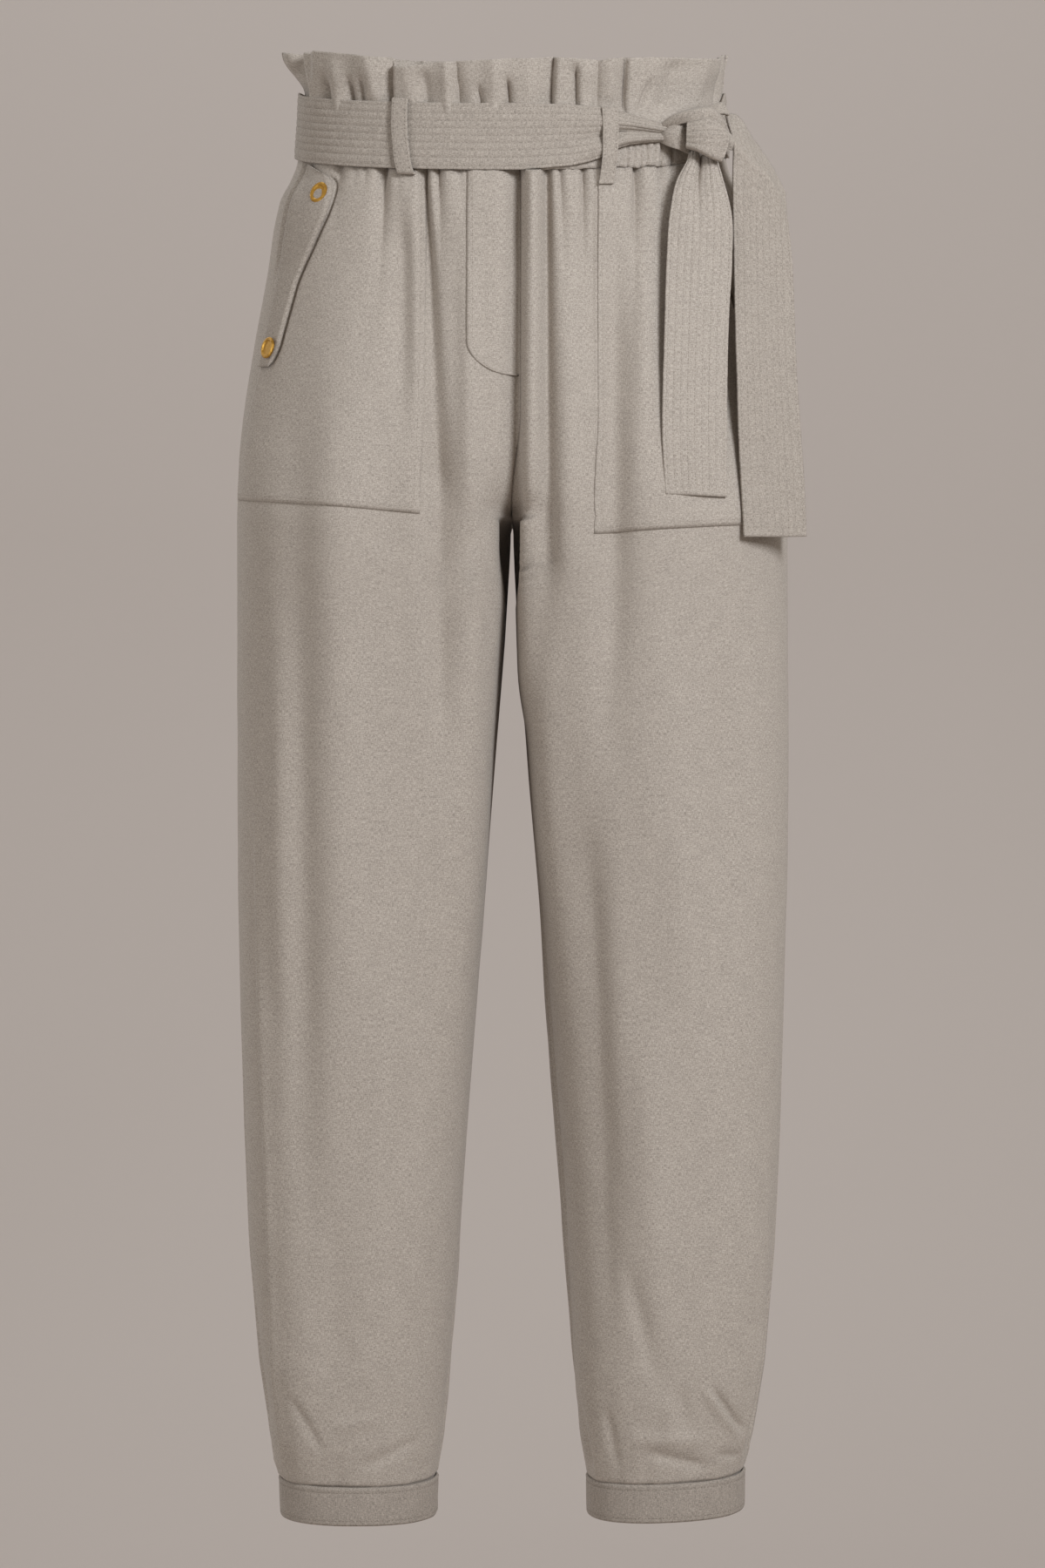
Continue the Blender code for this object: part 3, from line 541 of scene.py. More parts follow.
# ---- materials ----
class Nodes:
    """A short way to write a node tree."""

    def __init__(self, mat):
        mat.use_nodes = True
        self.tree = mat.node_tree
        self.shader = self.tree.nodes["Principled BSDF"]

    def add(self, kind, inputs=None, **props):
        node = self.tree.nodes.new(kind)
        for key, value in props.items():
            setattr(node, key, value)
        self.feed(node, inputs or {})
        return node

    def feed(self, node, inputs):
        """Join sockets to a node's inputs, or set them to numbers."""
        for key, value in inputs.items():
            if isinstance(value, bpy.types.NodeSocket):
                self.tree.links.new(value, node.inputs[key])
            else:
                node.inputs[key].default_value = value

    def ramp(self, value, dark, light, low=0.0, high=1.0):
        """A colour that runs from dark at the low value to light at the high one."""
        node = self.add("ShaderNodeValToRGB", {0: value})
        ends = node.color_ramp.elements
        for k, (at, colour) in enumerate([(low, dark), (high, light)]):
            ends[k].position = at
            ends[k].color = (*colour, 1.0)
        return node.outputs[0]

    def grain(self, scale, detail):
        """Noise in space, in cells a metre."""
        coord = self.add("ShaderNodeNewGeometry").outputs["Position"]
        node = self.add("ShaderNodeTexNoise", {"Vector": coord, "Scale": scale, "Detail": detail})
        return node.outputs[0]

    def mixed(self, parts):
        """The sum of values, each with its weight."""
        total = None
        for value, weight in parts:
            part = self.math("MULTIPLY", value, weight)
            total = part if total is None else self.math("ADD", total, part)
        return total

    def math(self, op, a, b):
        return self.add("ShaderNodeMath", {0: a, 1: b}, operation=op).outputs[0]

    def stretched(self, coord, sx, sy, detail=2.0, rough=0.6):
        """Noise stretched to sx and sy cells a metre."""
        move = self.add("ShaderNodeMapping", {0: coord, "Scale": (sx, sy, 1.0)})
        node = self.add("ShaderNodeTexNoise",
                        {"Vector": move.outputs[0], "Scale": 1.0, "Detail": detail,
                         "Roughness": rough}, noise_dimensions="2D")
        return node.outputs[0]


def linen(name, light, dark):
    """Slubby plain weave: warp and weft streaks, flecks and slow mottling, in cloth metres."""
    mat = bpy.data.materials.new(name)
    n = Nodes(mat)
    coord = n.add("ShaderNodeUVMap", uv_map="cloth").outputs[0]
    warp = n.stretched(coord, 2600.0, 420.0)
    weft = n.stretched(coord, 420.0, 2600.0)
    fleck = n.stretched(coord, 2400.0, 2400.0, 1.0)
    slub = n.stretched(coord, 60.0, 1400.0, 1.0)
    mottle = n.stretched(coord, 90.0, 60.0, 3.0)
    threads = n.mixed([(warp, 0.32), (weft, 0.32), (fleck, 0.24), (slub, 0.08)])
    tone = n.math("ADD", threads, n.math("MULTIPLY", mottle, 0.04))
    bump = n.add("ShaderNodeBump", {"Strength": 0.22, "Distance": 0.0005, "Height": threads})
    n.feed(n.shader, {"Base Color": n.ramp(tone, dark, light, 0.4, 0.6),
                      "Normal": bump.outputs[0], "Roughness": 0.92,
                      "Specular IOR Level": 0.1, "Sheen Weight": 0.08, "Sheen Roughness": 0.5})
    return mat


def thread_material(name, dark, light):
    """Sewing thread, its tone uneven along the row."""
    mat = bpy.data.materials.new(name)
    n = Nodes(mat)
    n.feed(n.shader, {"Base Color": n.ramp(n.grain(900.0, 2.0), dark, light), "Roughness": 0.7})
    return mat


def brass_material():
    """Worn warm brass."""
    mat = bpy.data.materials.new("brass")
    n = Nodes(mat)
    grain = n.grain(420.0, 4.0)
    rough = n.add("ShaderNodeMapRange", {0: grain, 3: 0.26, 4: 0.42})
    bump = n.add("ShaderNodeBump", {"Strength": 0.12, "Distance": 0.0003, "Height": grain})
    n.feed(n.shader, {"Base Color": n.ramp(grain, (0.5, 0.26, 0.045), (0.74, 0.43, 0.095)),
                      "Roughness": rough.outputs[0], "Normal": bump.outputs[0],
                      "Metallic": 1.0})
    return mat


LINEN = linen("linen", (0.51, 0.444, 0.382), (0.25, 0.215, 0.183))
# a darker copy of the linen for the belt, its side tail, knot, loops and facings: painted shade,
# as these pieces sit in shade
SHADED_TRIM = linen("linen_trim_painted_shade", (0.465, 0.402, 0.343), (0.222, 0.19, 0.161))
# a darker copy still for the cuffs: painted shade, as the cuffs face down away from the light
SHADED_CUFF = linen("linen_cuff_painted_shade", (0.412, 0.354, 0.302), (0.196, 0.167, 0.141))
THREAD = thread_material("thread", (0.25, 0.208, 0.168), (0.43, 0.366, 0.304))
BELT_THREAD = thread_material("thread_belt", (0.13, 0.105, 0.082), (0.26, 0.215, 0.172))
BRASS = brass_material()

SIDE_NAME = {-1: "right", 1: "left"}

# ---- legs ----
# the hem is caught inside the cuff: where it starts to turn in, where it ends, how far in
HEM_NECK = LEG_END + 0.0022
HEM_END = LEG_END - 0.004
HEM_IN = CUFF / 2 + CLOTH / 2 + 0.0003


def spans(stops, counts):
    """Values from stop to stop, with so many steps in each span."""
    parts = [np.linspace(a, b, n, endpoint=False) for a, b, n in zip(stops, stops[1:], counts)]
    return np.concatenate(parts + [stops[-1:]])


FRONT_ROWS = spans([LEG_TOP, -0.11, -0.3, -0.82, HEM_NECK, HEM_END], [64, 44, 74, 42, 7])
FRONT_COLS = spans([0.0, 0.34, 0.86, 1.0], [62, 72, 14])
BACK_ROWS = spans([LEG_TOP, -0.12, -0.4, -0.84, HEM_NECK, HEM_END], [44, 56, 52, 24, 7])
BACK_COLS = spans([0.0, 1.0], [96])


def leg_grid(side, back):
    t, z = np.meshgrid(BACK_COLS if back else FRONT_COLS, BACK_ROWS if back else FRONT_ROWS)
    grid = on_body(side, back, t, z, -HEM_IN * smooth(HEM_NECK, LEG_END - 0.0004, z))
    return grid if (side > 0) != back else grid[:, ::-1]


for side in (-1, 1):
    tag = SIDE_NAME[side]
    front = cloth("leg_front_" + tag, leg_grid(side, False), CLOTH, LINEN, "front_" + tag)
    rear = cloth("leg_back_" + tag, leg_grid(side, True), CLOTH, LINEN, "back_" + tag)

# ---- pockets, facings and placket ----
# inner edge's distance from the centre, z of the inner and outer lower corners
POCKETS = {-1: (0.06, -0.27, -0.255), 1: (0.054, -0.283, -0.271)}
# the mouth's line: z and share of the ring
MOUTH_Z = [-0.2685, -0.225, -0.165, -0.13, -0.1, -0.075, -0.0545, -0.04, -0.0188]
MOUTH_T = [0.9, 0.862, 0.806, 0.796, 0.79, 0.79, 0.788, 0.788, 0.788]
ON_PANEL = CLOTH / 2 + 0.0002 + PATCH / 2
ON_POCKET = ON_PANEL + PATCH + 0.0004


def pocket_grid(side):
    """A patch pocket from the waist seam down, its outer edge running on along the mouth."""
    inner_x, low, high = POCKETS[side]
    v = spans([0.0, 0.4, 1.0], [58, 56])
    inner_z = LEG_TOP + (low - LEG_TOP) * v
    inner_t = share(False, inner_x, inner_z)
    outer_z = LEG_TOP + (high - LEG_TOP) * v
    outer_t = curve(MOUTH_Z, MOUTH_T, outer_z)
    u = np.linspace(0.0, 1.0, 108)[None, :]
    t = inner_t[:, None] * (1 - u) + outer_t[:, None] * u
    z = inner_z[:, None] * (1 - u) + outer_z[:, None] * u
    across = np.minimum(u, 1 - u) * 0.12
    down = (1 - v[:, None]) * 0.24
    out = ON_PANEL - 0.0005 * np.maximum(bell(across, 0.0013), bell(down, 0.0013))
    full = smooth(0.0, 0.02, across) * smooth(0.0, 0.03, down) * smooth(0, 0.3, v)[:, None]
    return on_body(side, False, t, z, out + 0.0008 * full)


def facing_grid(side):
    """The strip that faces a pocket's mouth."""
    z = np.linspace(FACING_Z[-1], FACING_Z[0], 96)[:, None]
    edge = curve(FACING_Z, FACING_T, z)
    mouth = curve(MOUTH_Z, MOUTH_T, z) - 0.006
    u = np.linspace(0.0, 1.0, 30)[None, :]
    wide = np.maximum(mouth - edge, 0.006)
    t = edge + wide * u
    a, b = u * wide * SHARE_LENGTH, (1 - u) * wide * SHARE_LENGTH
    out = ON_POCKET + 0.0013 + 0.0005 * bell(a, 0.0014)
    out = out - 0.0006 * bell(b, 0.0012)
    return on_body(side, False, t, z, out)


def mirrored(grid, side):
    """The grid with its columns in the order that faces it outward on this side."""
    return grid if side > 0 else grid[:, ::-1]


def sew(name, grid, side, path):
    """A row of topstitching along a path of rows and columns on a patch."""
    last = grid.shape[1] - 1
    path = [(r, c if side > 0 else last - c) for r, c in path]
    stitches(name, [line_on(mirrored(grid, side), path, PATCH / 2)], THREAD)


for side in (-1, 1):
    tag = SIDE_NAME[side]
    grid = pocket_grid(side)
    pocket = cloth("patch_pocket_" + tag, mirrored(grid, side), PATCH, LINEN, "pocket_" + tag)
    rows, cols = grid.shape[0] - 1, grid.shape[1] - 1
    # the row runs 3 mm in from the pocket's side and lower edges
    ci, ri = 0.003 / 0.125 * cols, 0.003 / 0.24 * rows
    path = [(r, ci) for r in np.linspace(0, rows - ri, 90)]
    path += [(rows - ri, c) for c in np.linspace(ci, cols - ci, 50)]
    path += [(r, cols - ci) for r in np.linspace(rows - ri, rows * 0.62, 30)]
    sew("stitch_pocket_" + tag, grid, side, path)
    grid = facing_grid(side)
    facing = cloth("mouth_facing_" + tag, mirrored(grid, side), PATCH, SHADED_TRIM, "facing_" + tag)
    rows, cols = grid.shape[0] - 1, grid.shape[1] - 1
    path = [(r, cols * 0.1) for r in np.linspace(0, rows * 0.93, 70)]
    sew("stitch_facing_" + tag, grid, side, path)

# the placket: its free edge on the centre, its other edge drawn round to it in a J
v = np.linspace(0.0, 1.0, 90)[:, None]
u = np.linspace(0.0, 1.0, 24)[None, :]
FLY_LOW = -0.169
FLY_WIDE = 0.0335
z = LEG_TOP + (FLY_LOW - LEG_TOP) * v
round_off = np.sqrt(np.clip(1.0 - np.clip((v - 0.8) / 0.2, 0.0, 1.0) ** 2, 0.0, 1.0))
x = FLY_WIDE * u * (0.06 + 0.94 * round_off)
t = share(False, x, z)
edge = np.minimum(u, 1 - u) * 0.033
out = ON_PANEL - 0.0003 * bell(edge, 0.0012)
fly = on_body(-1, False, t, z, out)
placket = cloth("placket", mirrored(fly, -1), PATCH, LINEN, "fly_placket")
rows, cols = fly.shape[0] - 1, fly.shape[1] - 1
path = [(r, cols * 0.9) for r in np.linspace(0, rows * 0.985, 80)]
sew("stitch_placket", fly, -1, path)

# ---- waistband with its ruffle ----
# folds of the ruffle: x at the belt and at the top edge, half widths towards the wearer's right
# and left, depth, first and last height (0 at the belt, 1 at the edge)
FRONT_RUFFLE = [
    (-0.136, -0.1372, 0.006, 0.0012, 0.0095, -0.3, 1.5),
    (-0.133, -0.1335, 0.0012, 0.005, -0.0022, -0.3, 1.5),
    (-0.1232, -0.124, 0.002, 0.003, 0.0051, -0.3, 0.45),
    (-0.115, -0.115, 0.005, 0.005, -0.0026, -0.3, 0.7),
    (-0.1065, -0.1075, 0.002, 0.0026, 0.0054, -0.3, 0.42),
    (-0.0985, -0.098, 0.0018, 0.0024, 0.0043, -0.3, 0.48),
    (-0.089, -0.093, 0.008, 0.006, -0.0034, 0.0, 1.5),
    (-0.079, -0.0775, 0.006, 0.0009, 0.007, -0.3, 1.5),
    (-0.066, -0.069, 0.007, 0.007, -0.0024, -0.1, 1.5),
    (-0.056, -0.058, 0.006, 0.005, 0.0036, -0.3, 0.8),
    (-0.041, -0.042, 0.006, 0.0016, -0.004, -0.3, 1.3),
    (-0.035, -0.0372, 0.0014, 0.006, 0.0048, -0.3, 1.1),
    (-0.0205, -0.024, 0.0022, 0.003, 0.0043, -0.3, 0.35),
    (-0.011, -0.012, 0.0055, 0.005, -0.0028, -0.3, 1.3),
    (-0.0018, -0.0045, 0.0018, 0.0026, 0.0056, -0.3, 0.5),
    (0.012, 0.01, 0.006, 0.007, -0.002, -0.3, 1.4),
    (0.0275, 0.0285, 0.0085, 0.0009, 0.0075, -0.3, 1.5),
    (0.044, 0.0425, 0.005, 0.001, 0.0059, -0.3, 0.8),
    (0.057, 0.0565, 0.004, 0.0022, 0.0036, -0.3, 1.5),
    (0.064, 0.064, 0.003, 0.003, -0.0024, 0.1, 1.5),
    (0.0752, 0.0748, 0.0046, 0.001, 0.0064, -0.3, 1.5),
    (0.086, 0.096, 0.002, 0.0034, 0.0033, -0.3, 0.45),
    (0.1, 0.108, 0.008, 0.011, 0.004, -0.3, 0.9),
    (0.122, 0.125, 0.009, 0.006, -0.0034, -0.3, 1.5),
    (0.139, 0.1405, 0.0034, 0.0014, 0.004, -0.3, 1.5),
]
# x, and there the height of the ruffle's edge over its mean
EDGE = np.array([
    (-0.1425, -0.0014), (-0.136, 0.003), (-0.116, 0.0026), (-0.1, 0.0018), (-0.0785, 0.0),
    (-0.0772, -0.0048), (-0.068, -0.0052), (-0.048, -0.002), (0.0, 0.0008), (0.033, 0.0012),
    (0.045, 0.0003), (0.058, -0.0012), (0.063, 0.0004), (0.0725, 0.0003), (0.092, 0.0005),
    (0.11, -0.0006), (0.125, -0.002), (0.136, -0.0036), (0.1425, -0.003),
])


def back_ruffle():
    """Uneven folds of the same kinds round the back."""
    folds, x = [], -0.138
    while x < 0.138:
        deep = RNG.uniform(0.0035, 0.0072)
        near, far = RNG.uniform(0.0012, 0.0055, 2)
        reach = RNG.choice([0.45, 0.8, 1.5, 1.5])
        folds.append((x, x + RNG.uniform(-0.003, 0.003), near, far, deep, -0.3, reach))
        ridge = x + RNG.uniform(0.006, 0.009)
        folds.append((ridge, ridge, 0.005, 0.005, -deep * 0.5, -0.3, 1.5))
        x += RNG.uniform(0.012, 0.022)
    return folds


BACK_RUFFLE = back_ruffle()
CASING_PLEATS = [0.0765, 0.081, 0.0858, 0.0895, 0.0943, 0.099, 0.1065]


def waist_relief(back, x, z, u):
    """How far the waistband stands off its plain form: the ruffle's folds, flare and gathers."""
    h = (z - BELT_TOP) / (RUFFLE_TOP - BELT_TOP)
    out = np.zeros(np.shape(x))
    for x0, x1, right, left, deep, first, last in BACK_RUFFLE if back else FRONT_RUFFLE:
        d = x - (x0 + (x1 - x0) * h)
        size = smooth(first - 0.2, first + 0.2, h) * smooth(last + 0.2, last - 0.2, h)
        out -= deep * size * np.exp(-(np.abs(d / np.where(d < 0.0, right, left)) ** 1.5))
    open_up = smooth(-0.1, 1.0, h)
    out += 0.0045 * open_up
    flare = np.where(u < 0.0, 0.0125, -0.003)
    out += flare * open_up * smooth(0.78, 1.0, np.abs(u))
    out += 0.0008 * open_up * noise(x / 0.012 + 3.0, h * 1.5, 91 if back else 90)
    # the elastic gathers the casing into small uneven pleats
    k = x / 0.0052
    casing = smooth(BELT_TOP + 0.006, BELT_TOP - 0.004, z)
    under = smooth(0.006, -0.002, z)
    out += 0.0006 * casing * noise(k, z / 0.05, 95)
    out += 0.0004 * casing * noise(k * 2.1, z / 0.02, 96)
    for crease in CASING_PLEATS:
        out -= 0.0019 * under * bell(x - crease, 0.0011)
    out -= 0.0006 * bell(z - (CASING_LOW + 0.0012), 0.0012)
    return out


WAIST_COLS = np.linspace(-1.0, 1.0, 341)
WAIST_ROWS = np.concatenate([np.linspace(CASING_LOW, BELT_TOP, 20)[:-1],
                             np.linspace(BELT_TOP, RUFFLE_TOP, 26)])


def waist_at(back, u, z, out=0.0, with_relief=True):
    """Points on the waistband's front or back; u runs from -1 at the right to 1 at the left."""
    side = np.where(u < 0.0, -1.0, 1.0)
    x, y, nx, ny = ring_at(back, np.abs(u), z)
    fx = bend(side * x, y, z)[0]
    d = out + (waist_relief(back, fx, z, u) if with_relief else 0.0)
    return np.stack(bend(side * (x + nx * d), y + ny * d, z), axis=-1)


for back in (False, True):
    name = "back" if back else "front"
    u, z = np.meshgrid(WAIST_COLS, WAIST_ROWS)
    rise = np.interp(ring_at(back, np.abs(u), z)[0] * np.sign(u), EDGE[:, 0], EDGE[:, 1])
    if back:
        near = smooth(0.6, 0.95, np.abs(u))
        seams = np.where(u < 0.0, EDGE[0, 1], EDGE[-1, 1])
        seams = seams - 0.003 * smooth(1.0, 0.94, np.abs(u)) * (u > 0.0)
        rise = 0.0016 * noise(u * 9.0, z * 0.0, 97) * (1.0 - near) + seams * near
    h = smooth(BELT_TOP, RUFFLE_TOP, z)
    grid = waist_at(back, u, z)
    grid[..., 2] += rise * h
    hem = smooth(-0.008, CASING_LOW, z)
    grid[..., 2] += 0.0008 * noise(grid[..., 0] / 0.007, z * 0.0, 98) * hem
    if not back:
        # past its outermost ridge on the wearer's right the ruffle turns away to the back
        d = grid[..., 0] + 0.1335
        fold = smooth(0.001, -0.0012, d) * smooth(-0.021, -0.006, d)
        grid[..., 1] += 0.011 * fold * smooth(0.15, 0.8, h)
    way = 1.0 if back else -1.0
    grid[..., 1] = way * np.maximum(way * grid[..., 1], SEAM / 2)
    grid = grid[::-1]
    if back:
        grid = grid[:, ::-1]
    band = cloth("waist_" + name, grid, BAND, LINEN, "waistband_" + name)

# the casing's seam: a row of stitches that shows where the belt narrows
u = np.linspace(0.42, 0.86, 120)
z = np.full(u.shape, CASING_LOW + 0.0026)
pts = waist_at(False, u, z, BAND / 2)
nrm = waist_at(False, u, z, BAND / 2 + 0.001) - pts
stitches("stitch_casing", [(pts, nrm / np.linalg.norm(nrm, axis=1)[:, None])], THREAD)

# ---- belt ----
ON_CASING = BAND / 2 + 0.0004 + BELT / 2
# how far its edges dip, how far its columns lie apart, and where stitches sit, a little sunk
EDGE_DIP = 0.00033
COLUMN = 0.00215
SUNK = BELT / 2 - 0.0001
STITCH_ROWS = [0.05, 0.16, 0.27, 0.38, 0.49, 0.6, 0.71, 0.82, 0.95]


def quilting(across, along, seed, deep=0.0005, pucker=0.00016):
    """Rows of topstitching: a groove at each row, and puckered cloth between them."""
    out = np.zeros(np.broadcast(across, along).shape)
    for k in STITCH_ROWS:
        out -= deep * bell(across - k, 0.016)
    out += pucker * noise(along / 0.005 + 13.0, across * 9.0, seed)
    out += pucker * 0.7 * noise(along / 0.013, across * 4.0 + 5.0, seed + 1)
    return out


# the band as it narrows into the knot: x, top and bottom (nominal z), and how far its two halves
# roll up
NARROW = np.array([
    (0.0, 0.0244, -0.019, 0.0),
    (0.035, 0.0236, -0.0164, 0.0002),
    (0.048, 0.0224, -0.0138, 0.001),
    (0.056, 0.0214, -0.0112, 0.0016),
    (0.0625, 0.0204, -0.0088, 0.0024),
    (0.068, 0.019, -0.005, 0.0028),
    (0.076, 0.0165, -0.0028, 0.0028),
    (0.086, 0.0132, -0.0018, 0.0024),
    (0.098, 0.0092, -0.0016, 0.002),
    (0.108, 0.0065, -0.0022, 0.0018),
])

# round the waist from the knot: front, right side, back, left side, and behind the knot again
front_way = np.linspace(0.66, -1.0, 190)
back_way = np.linspace(-1.0, 1.0, 200)
last_way = np.linspace(1.0, 0.8, 20)
way = [(u, False) for u in front_way[:-1]] + [(u, True) for u in back_way[:-1]]
way += [(u, False) for u in last_way]
u_of = np.array([u for u, _ in way])
back_of = np.array([b for _, b in way])
x_of = np.array([ring_at(b, abs(u), 0.0)[0] * np.sign(u) for u, b in way])
knot_zone = (~back_of) & (np.arange(len(way)) < len(front_way))
top, low, roll = [np.where(knot_zone, np.interp(x_of, NARROW[:, 0], NARROW[:, k]), plain)
                  for k, plain in ((1, BELT_TOP), (2, BELT_LOW), (3, 0.0))]
rear_knot = np.arange(len(way)) >= len(front_way) + len(back_way) - 2
pinch = smooth(0.95, 0.8, np.abs(u_of)) * rear_knot
top = top - 0.008 * pinch
low = low + 0.013 * pinch
BELT_CELLS = 46
a = np.linspace(0.0, 1.0, BELT_CELLS)[:, None]
z = top[None, :] * (1 - a) + low[None, :] * a
along = np.arange(len(way))[None, :] * COLUMN
out = ON_CASING + quilting(a, along, 31)
split = bell(a - 0.57, 0.045)
halves = bell(a - 0.28, 0.19) + bell(a - 0.82, 0.14)
out = out + roll[None, :] * (halves * 1.5 - split * 0.5) + 0.0004 * roll[None, :] / 0.003
out = out - EDGE_DIP * (bell(a, 0.02) + bell(1 - a, 0.02))
grid = np.zeros((BELT_CELLS, len(way), 3))
for is_back in (False, True):
    pick = back_of == is_back
    grid[:, pick] = waist_at(is_back, np.broadcast_to(u_of[None, pick], z[:, pick].shape),
                             z[:, pick], out[:, pick], with_relief=False)
belt = cloth("belt_round", grid[:, ::-1], BELT, SHADED_TRIM, "belt_band", turn=True)

paths = []
flipped = grid[:, ::-1]
for k in STITCH_ROWS:
    line = [(k * (BELT_CELLS - 1), c) for c in np.linspace(2, len(way) - 3, 420)]
    paths.append(line_on(flipped, line, SUNK))
stitches("stitch_belt", paths, BELT_THREAD)


def patch(points, rows, cols):
    """A smooth sheet through a small net of points."""
    net = np.array(points, float)
    gaps = np.linalg.norm(np.diff(net, axis=0), axis=2).mean(axis=1)
    v0, u0 = np.concatenate([[0.0], np.cumsum(gaps)]), np.arange(net.shape[1])
    v1, u1 = np.linspace(0, v0[-1], rows), np.linspace(0, u0[-1], cols)
    wide = np.stack([[curve(u0, row[:, k], u1) for row in net] for k in range(3)], axis=-1)
    return np.stack([[curve(v0, wide[:, j, k], v1) for j in range(cols)]
                     for k in range(3)], axis=-1).transpose(1, 0, 2)


def displaced(grid, out):
    """The grid moved out along its normals."""
    return grid + normals_of(grid) * out[..., None]


def sew_tail(name, grid, down, hem_row):
    """Topstitching down a tail of the belt along these rows, and one row across by its end."""
    paths = [line_on(grid, [(r, k * (TAIL_COLS - 1)) for r in down], SUNK) for k in STITCH_ROWS]
    hem = [(hem_row, c) for c in np.linspace(2, TAIL_COLS - 3, 30)]
    paths.append(line_on(grid, hem, SUNK))
    stitches(name, paths, BELT_THREAD)


TAIL_COLS = 52
# free tail on the front: z, left and right edge in x, then in y
TAIL_FRONT = np.array([
    (-0.029, 0.118, 0.135, -0.08, -0.078),
    (-0.0345, 0.1165, 0.136, -0.084, -0.0815),
    (-0.047, 0.1098, 0.1395, -0.089, -0.086),
    (-0.07, 0.1044, 0.1448, -0.096, -0.09),
    (-0.1, 0.1022, 0.1449, -0.101, -0.091),
    (-0.14, 0.1005, 0.1425, -0.1075, -0.096),
    (-0.18, 0.099, 0.1412, -0.113, -0.1),
    (-0.22, 0.0985, 0.1409, -0.117, -0.1045),
    (-0.2575, 0.1005, 0.1409, -0.118, -0.107),
])
zs = np.linspace(TAIL_FRONT[0, 0], TAIL_FRONT[-1, 0], 120)
edges = [curve(TAIL_FRONT[::-1, 0], TAIL_FRONT[::-1, k], zs) for k in range(1, 5)]
s = np.linspace(0.0, 1.0, TAIL_COLS)[None, :]
grid = np.stack([edges[0][:, None] * (1 - s) + edges[1][:, None] * s,
                 edges[2][:, None] * (1 - s) + edges[3][:, None] * s
                 - 0.0012 * np.sin(np.pi * s),
                 zs[:, None] - 0.0012 * s], axis=-1)
near = smooth(-0.085, -0.035, zs)[:, None]
out = quilting(s, -zs[:, None], 41)
out = out - 0.0042 * near * bell(s - 0.44, 0.1) + 0.0022 * near * bell(s - 0.16, 0.16)
out = out + 0.002 * near * bell(s - 0.78, 0.14)
out = out + 0.001 * noise(s * 1.5, -zs[:, None] / 0.055, 43)
tail_front = displaced(grid, out)
tail = cloth("tail_front", tail_front, BELT, LINEN, "belt_tail_front")
sew_tail("stitch_tail_front", tail_front, np.linspace(2, 117, 150), 115.5)

# free tail at the side: a net of points, its first row the far edge, its third where it turns
TAIL_SIDE = [
    [(0.1427, -0.056, 0.0004), (0.1513, -0.053, -0.0006), (0.1619, -0.052, -0.0164),
     (0.1735, -0.054, -0.0341), (0.1821, -0.059, -0.052)],
    [(0.144, -0.07, -0.008), (0.153, -0.067, -0.014), (0.162, -0.064, -0.026),
     (0.173, -0.0615, -0.0395), (0.1823, -0.0612, -0.056)],
    [(0.1468, -0.083, -0.022), (0.1585, -0.08, -0.035), (0.169, -0.075, -0.043),
     (0.1768, -0.07, -0.054), (0.1826, -0.0645, -0.0672)],
    [(0.1462, -0.0835, -0.048), (0.157, -0.08, -0.056), (0.167, -0.0755, -0.0625),
     (0.176, -0.0705, -0.07), (0.184, -0.0655, -0.078)],
    [(0.1468, -0.0865, -0.1), (0.157, -0.0835, -0.101), (0.167, -0.0785, -0.102),
     (0.177, -0.073, -0.1035), (0.1868, -0.0672, -0.105)],
    [(0.1477, -0.0965, -0.17), (0.158, -0.093, -0.17), (0.1685, -0.086, -0.17),
     (0.179, -0.0785, -0.17), (0.189, -0.071, -0.17)],
    [(0.1503, -0.1012, -0.24), (0.161, -0.097, -0.24), (0.172, -0.0895, -0.24),
     (0.183, -0.081, -0.24), (0.1936, -0.073, -0.24)],
    [(0.1526, -0.1025, -0.2845), (0.163, -0.0975, -0.2842), (0.174, -0.09, -0.2838),
     (0.185, -0.0815, -0.2832), (0.1955, -0.0735, -0.2825)],
]
TAIL_ROWS = 170
TURN = 2
net = np.array(TAIL_SIDE)
# a row close to each side of the turn keeps it tight
net = np.insert(net, TURN + 1, net[TURN] * 0.93 + net[TURN + 1] * 0.07, axis=0)
net = np.insert(net, TURN, net[TURN] * 0.9 + net[TURN - 1] * 0.1, axis=0)
grid = patch(net, TAIL_ROWS, TAIL_COLS)
drop = np.linspace(0.0, 1.0, TAIL_ROWS)[:, None]
out = quilting(s, drop * 0.29, 51, 0.00034, 0.00022)
out = out + 0.0009 * noise(s * 2.5, drop * 5.0, 53) * smooth(0.15, 0.4, drop)
tail_side = displaced(grid, out)
tail = cloth("tail_side", tail_side, BELT, SHADED_TRIM, "belt_tail_side")
sew_tail("stitch_tail_side", tail_side, np.linspace(3, 167, 180), 165.0)

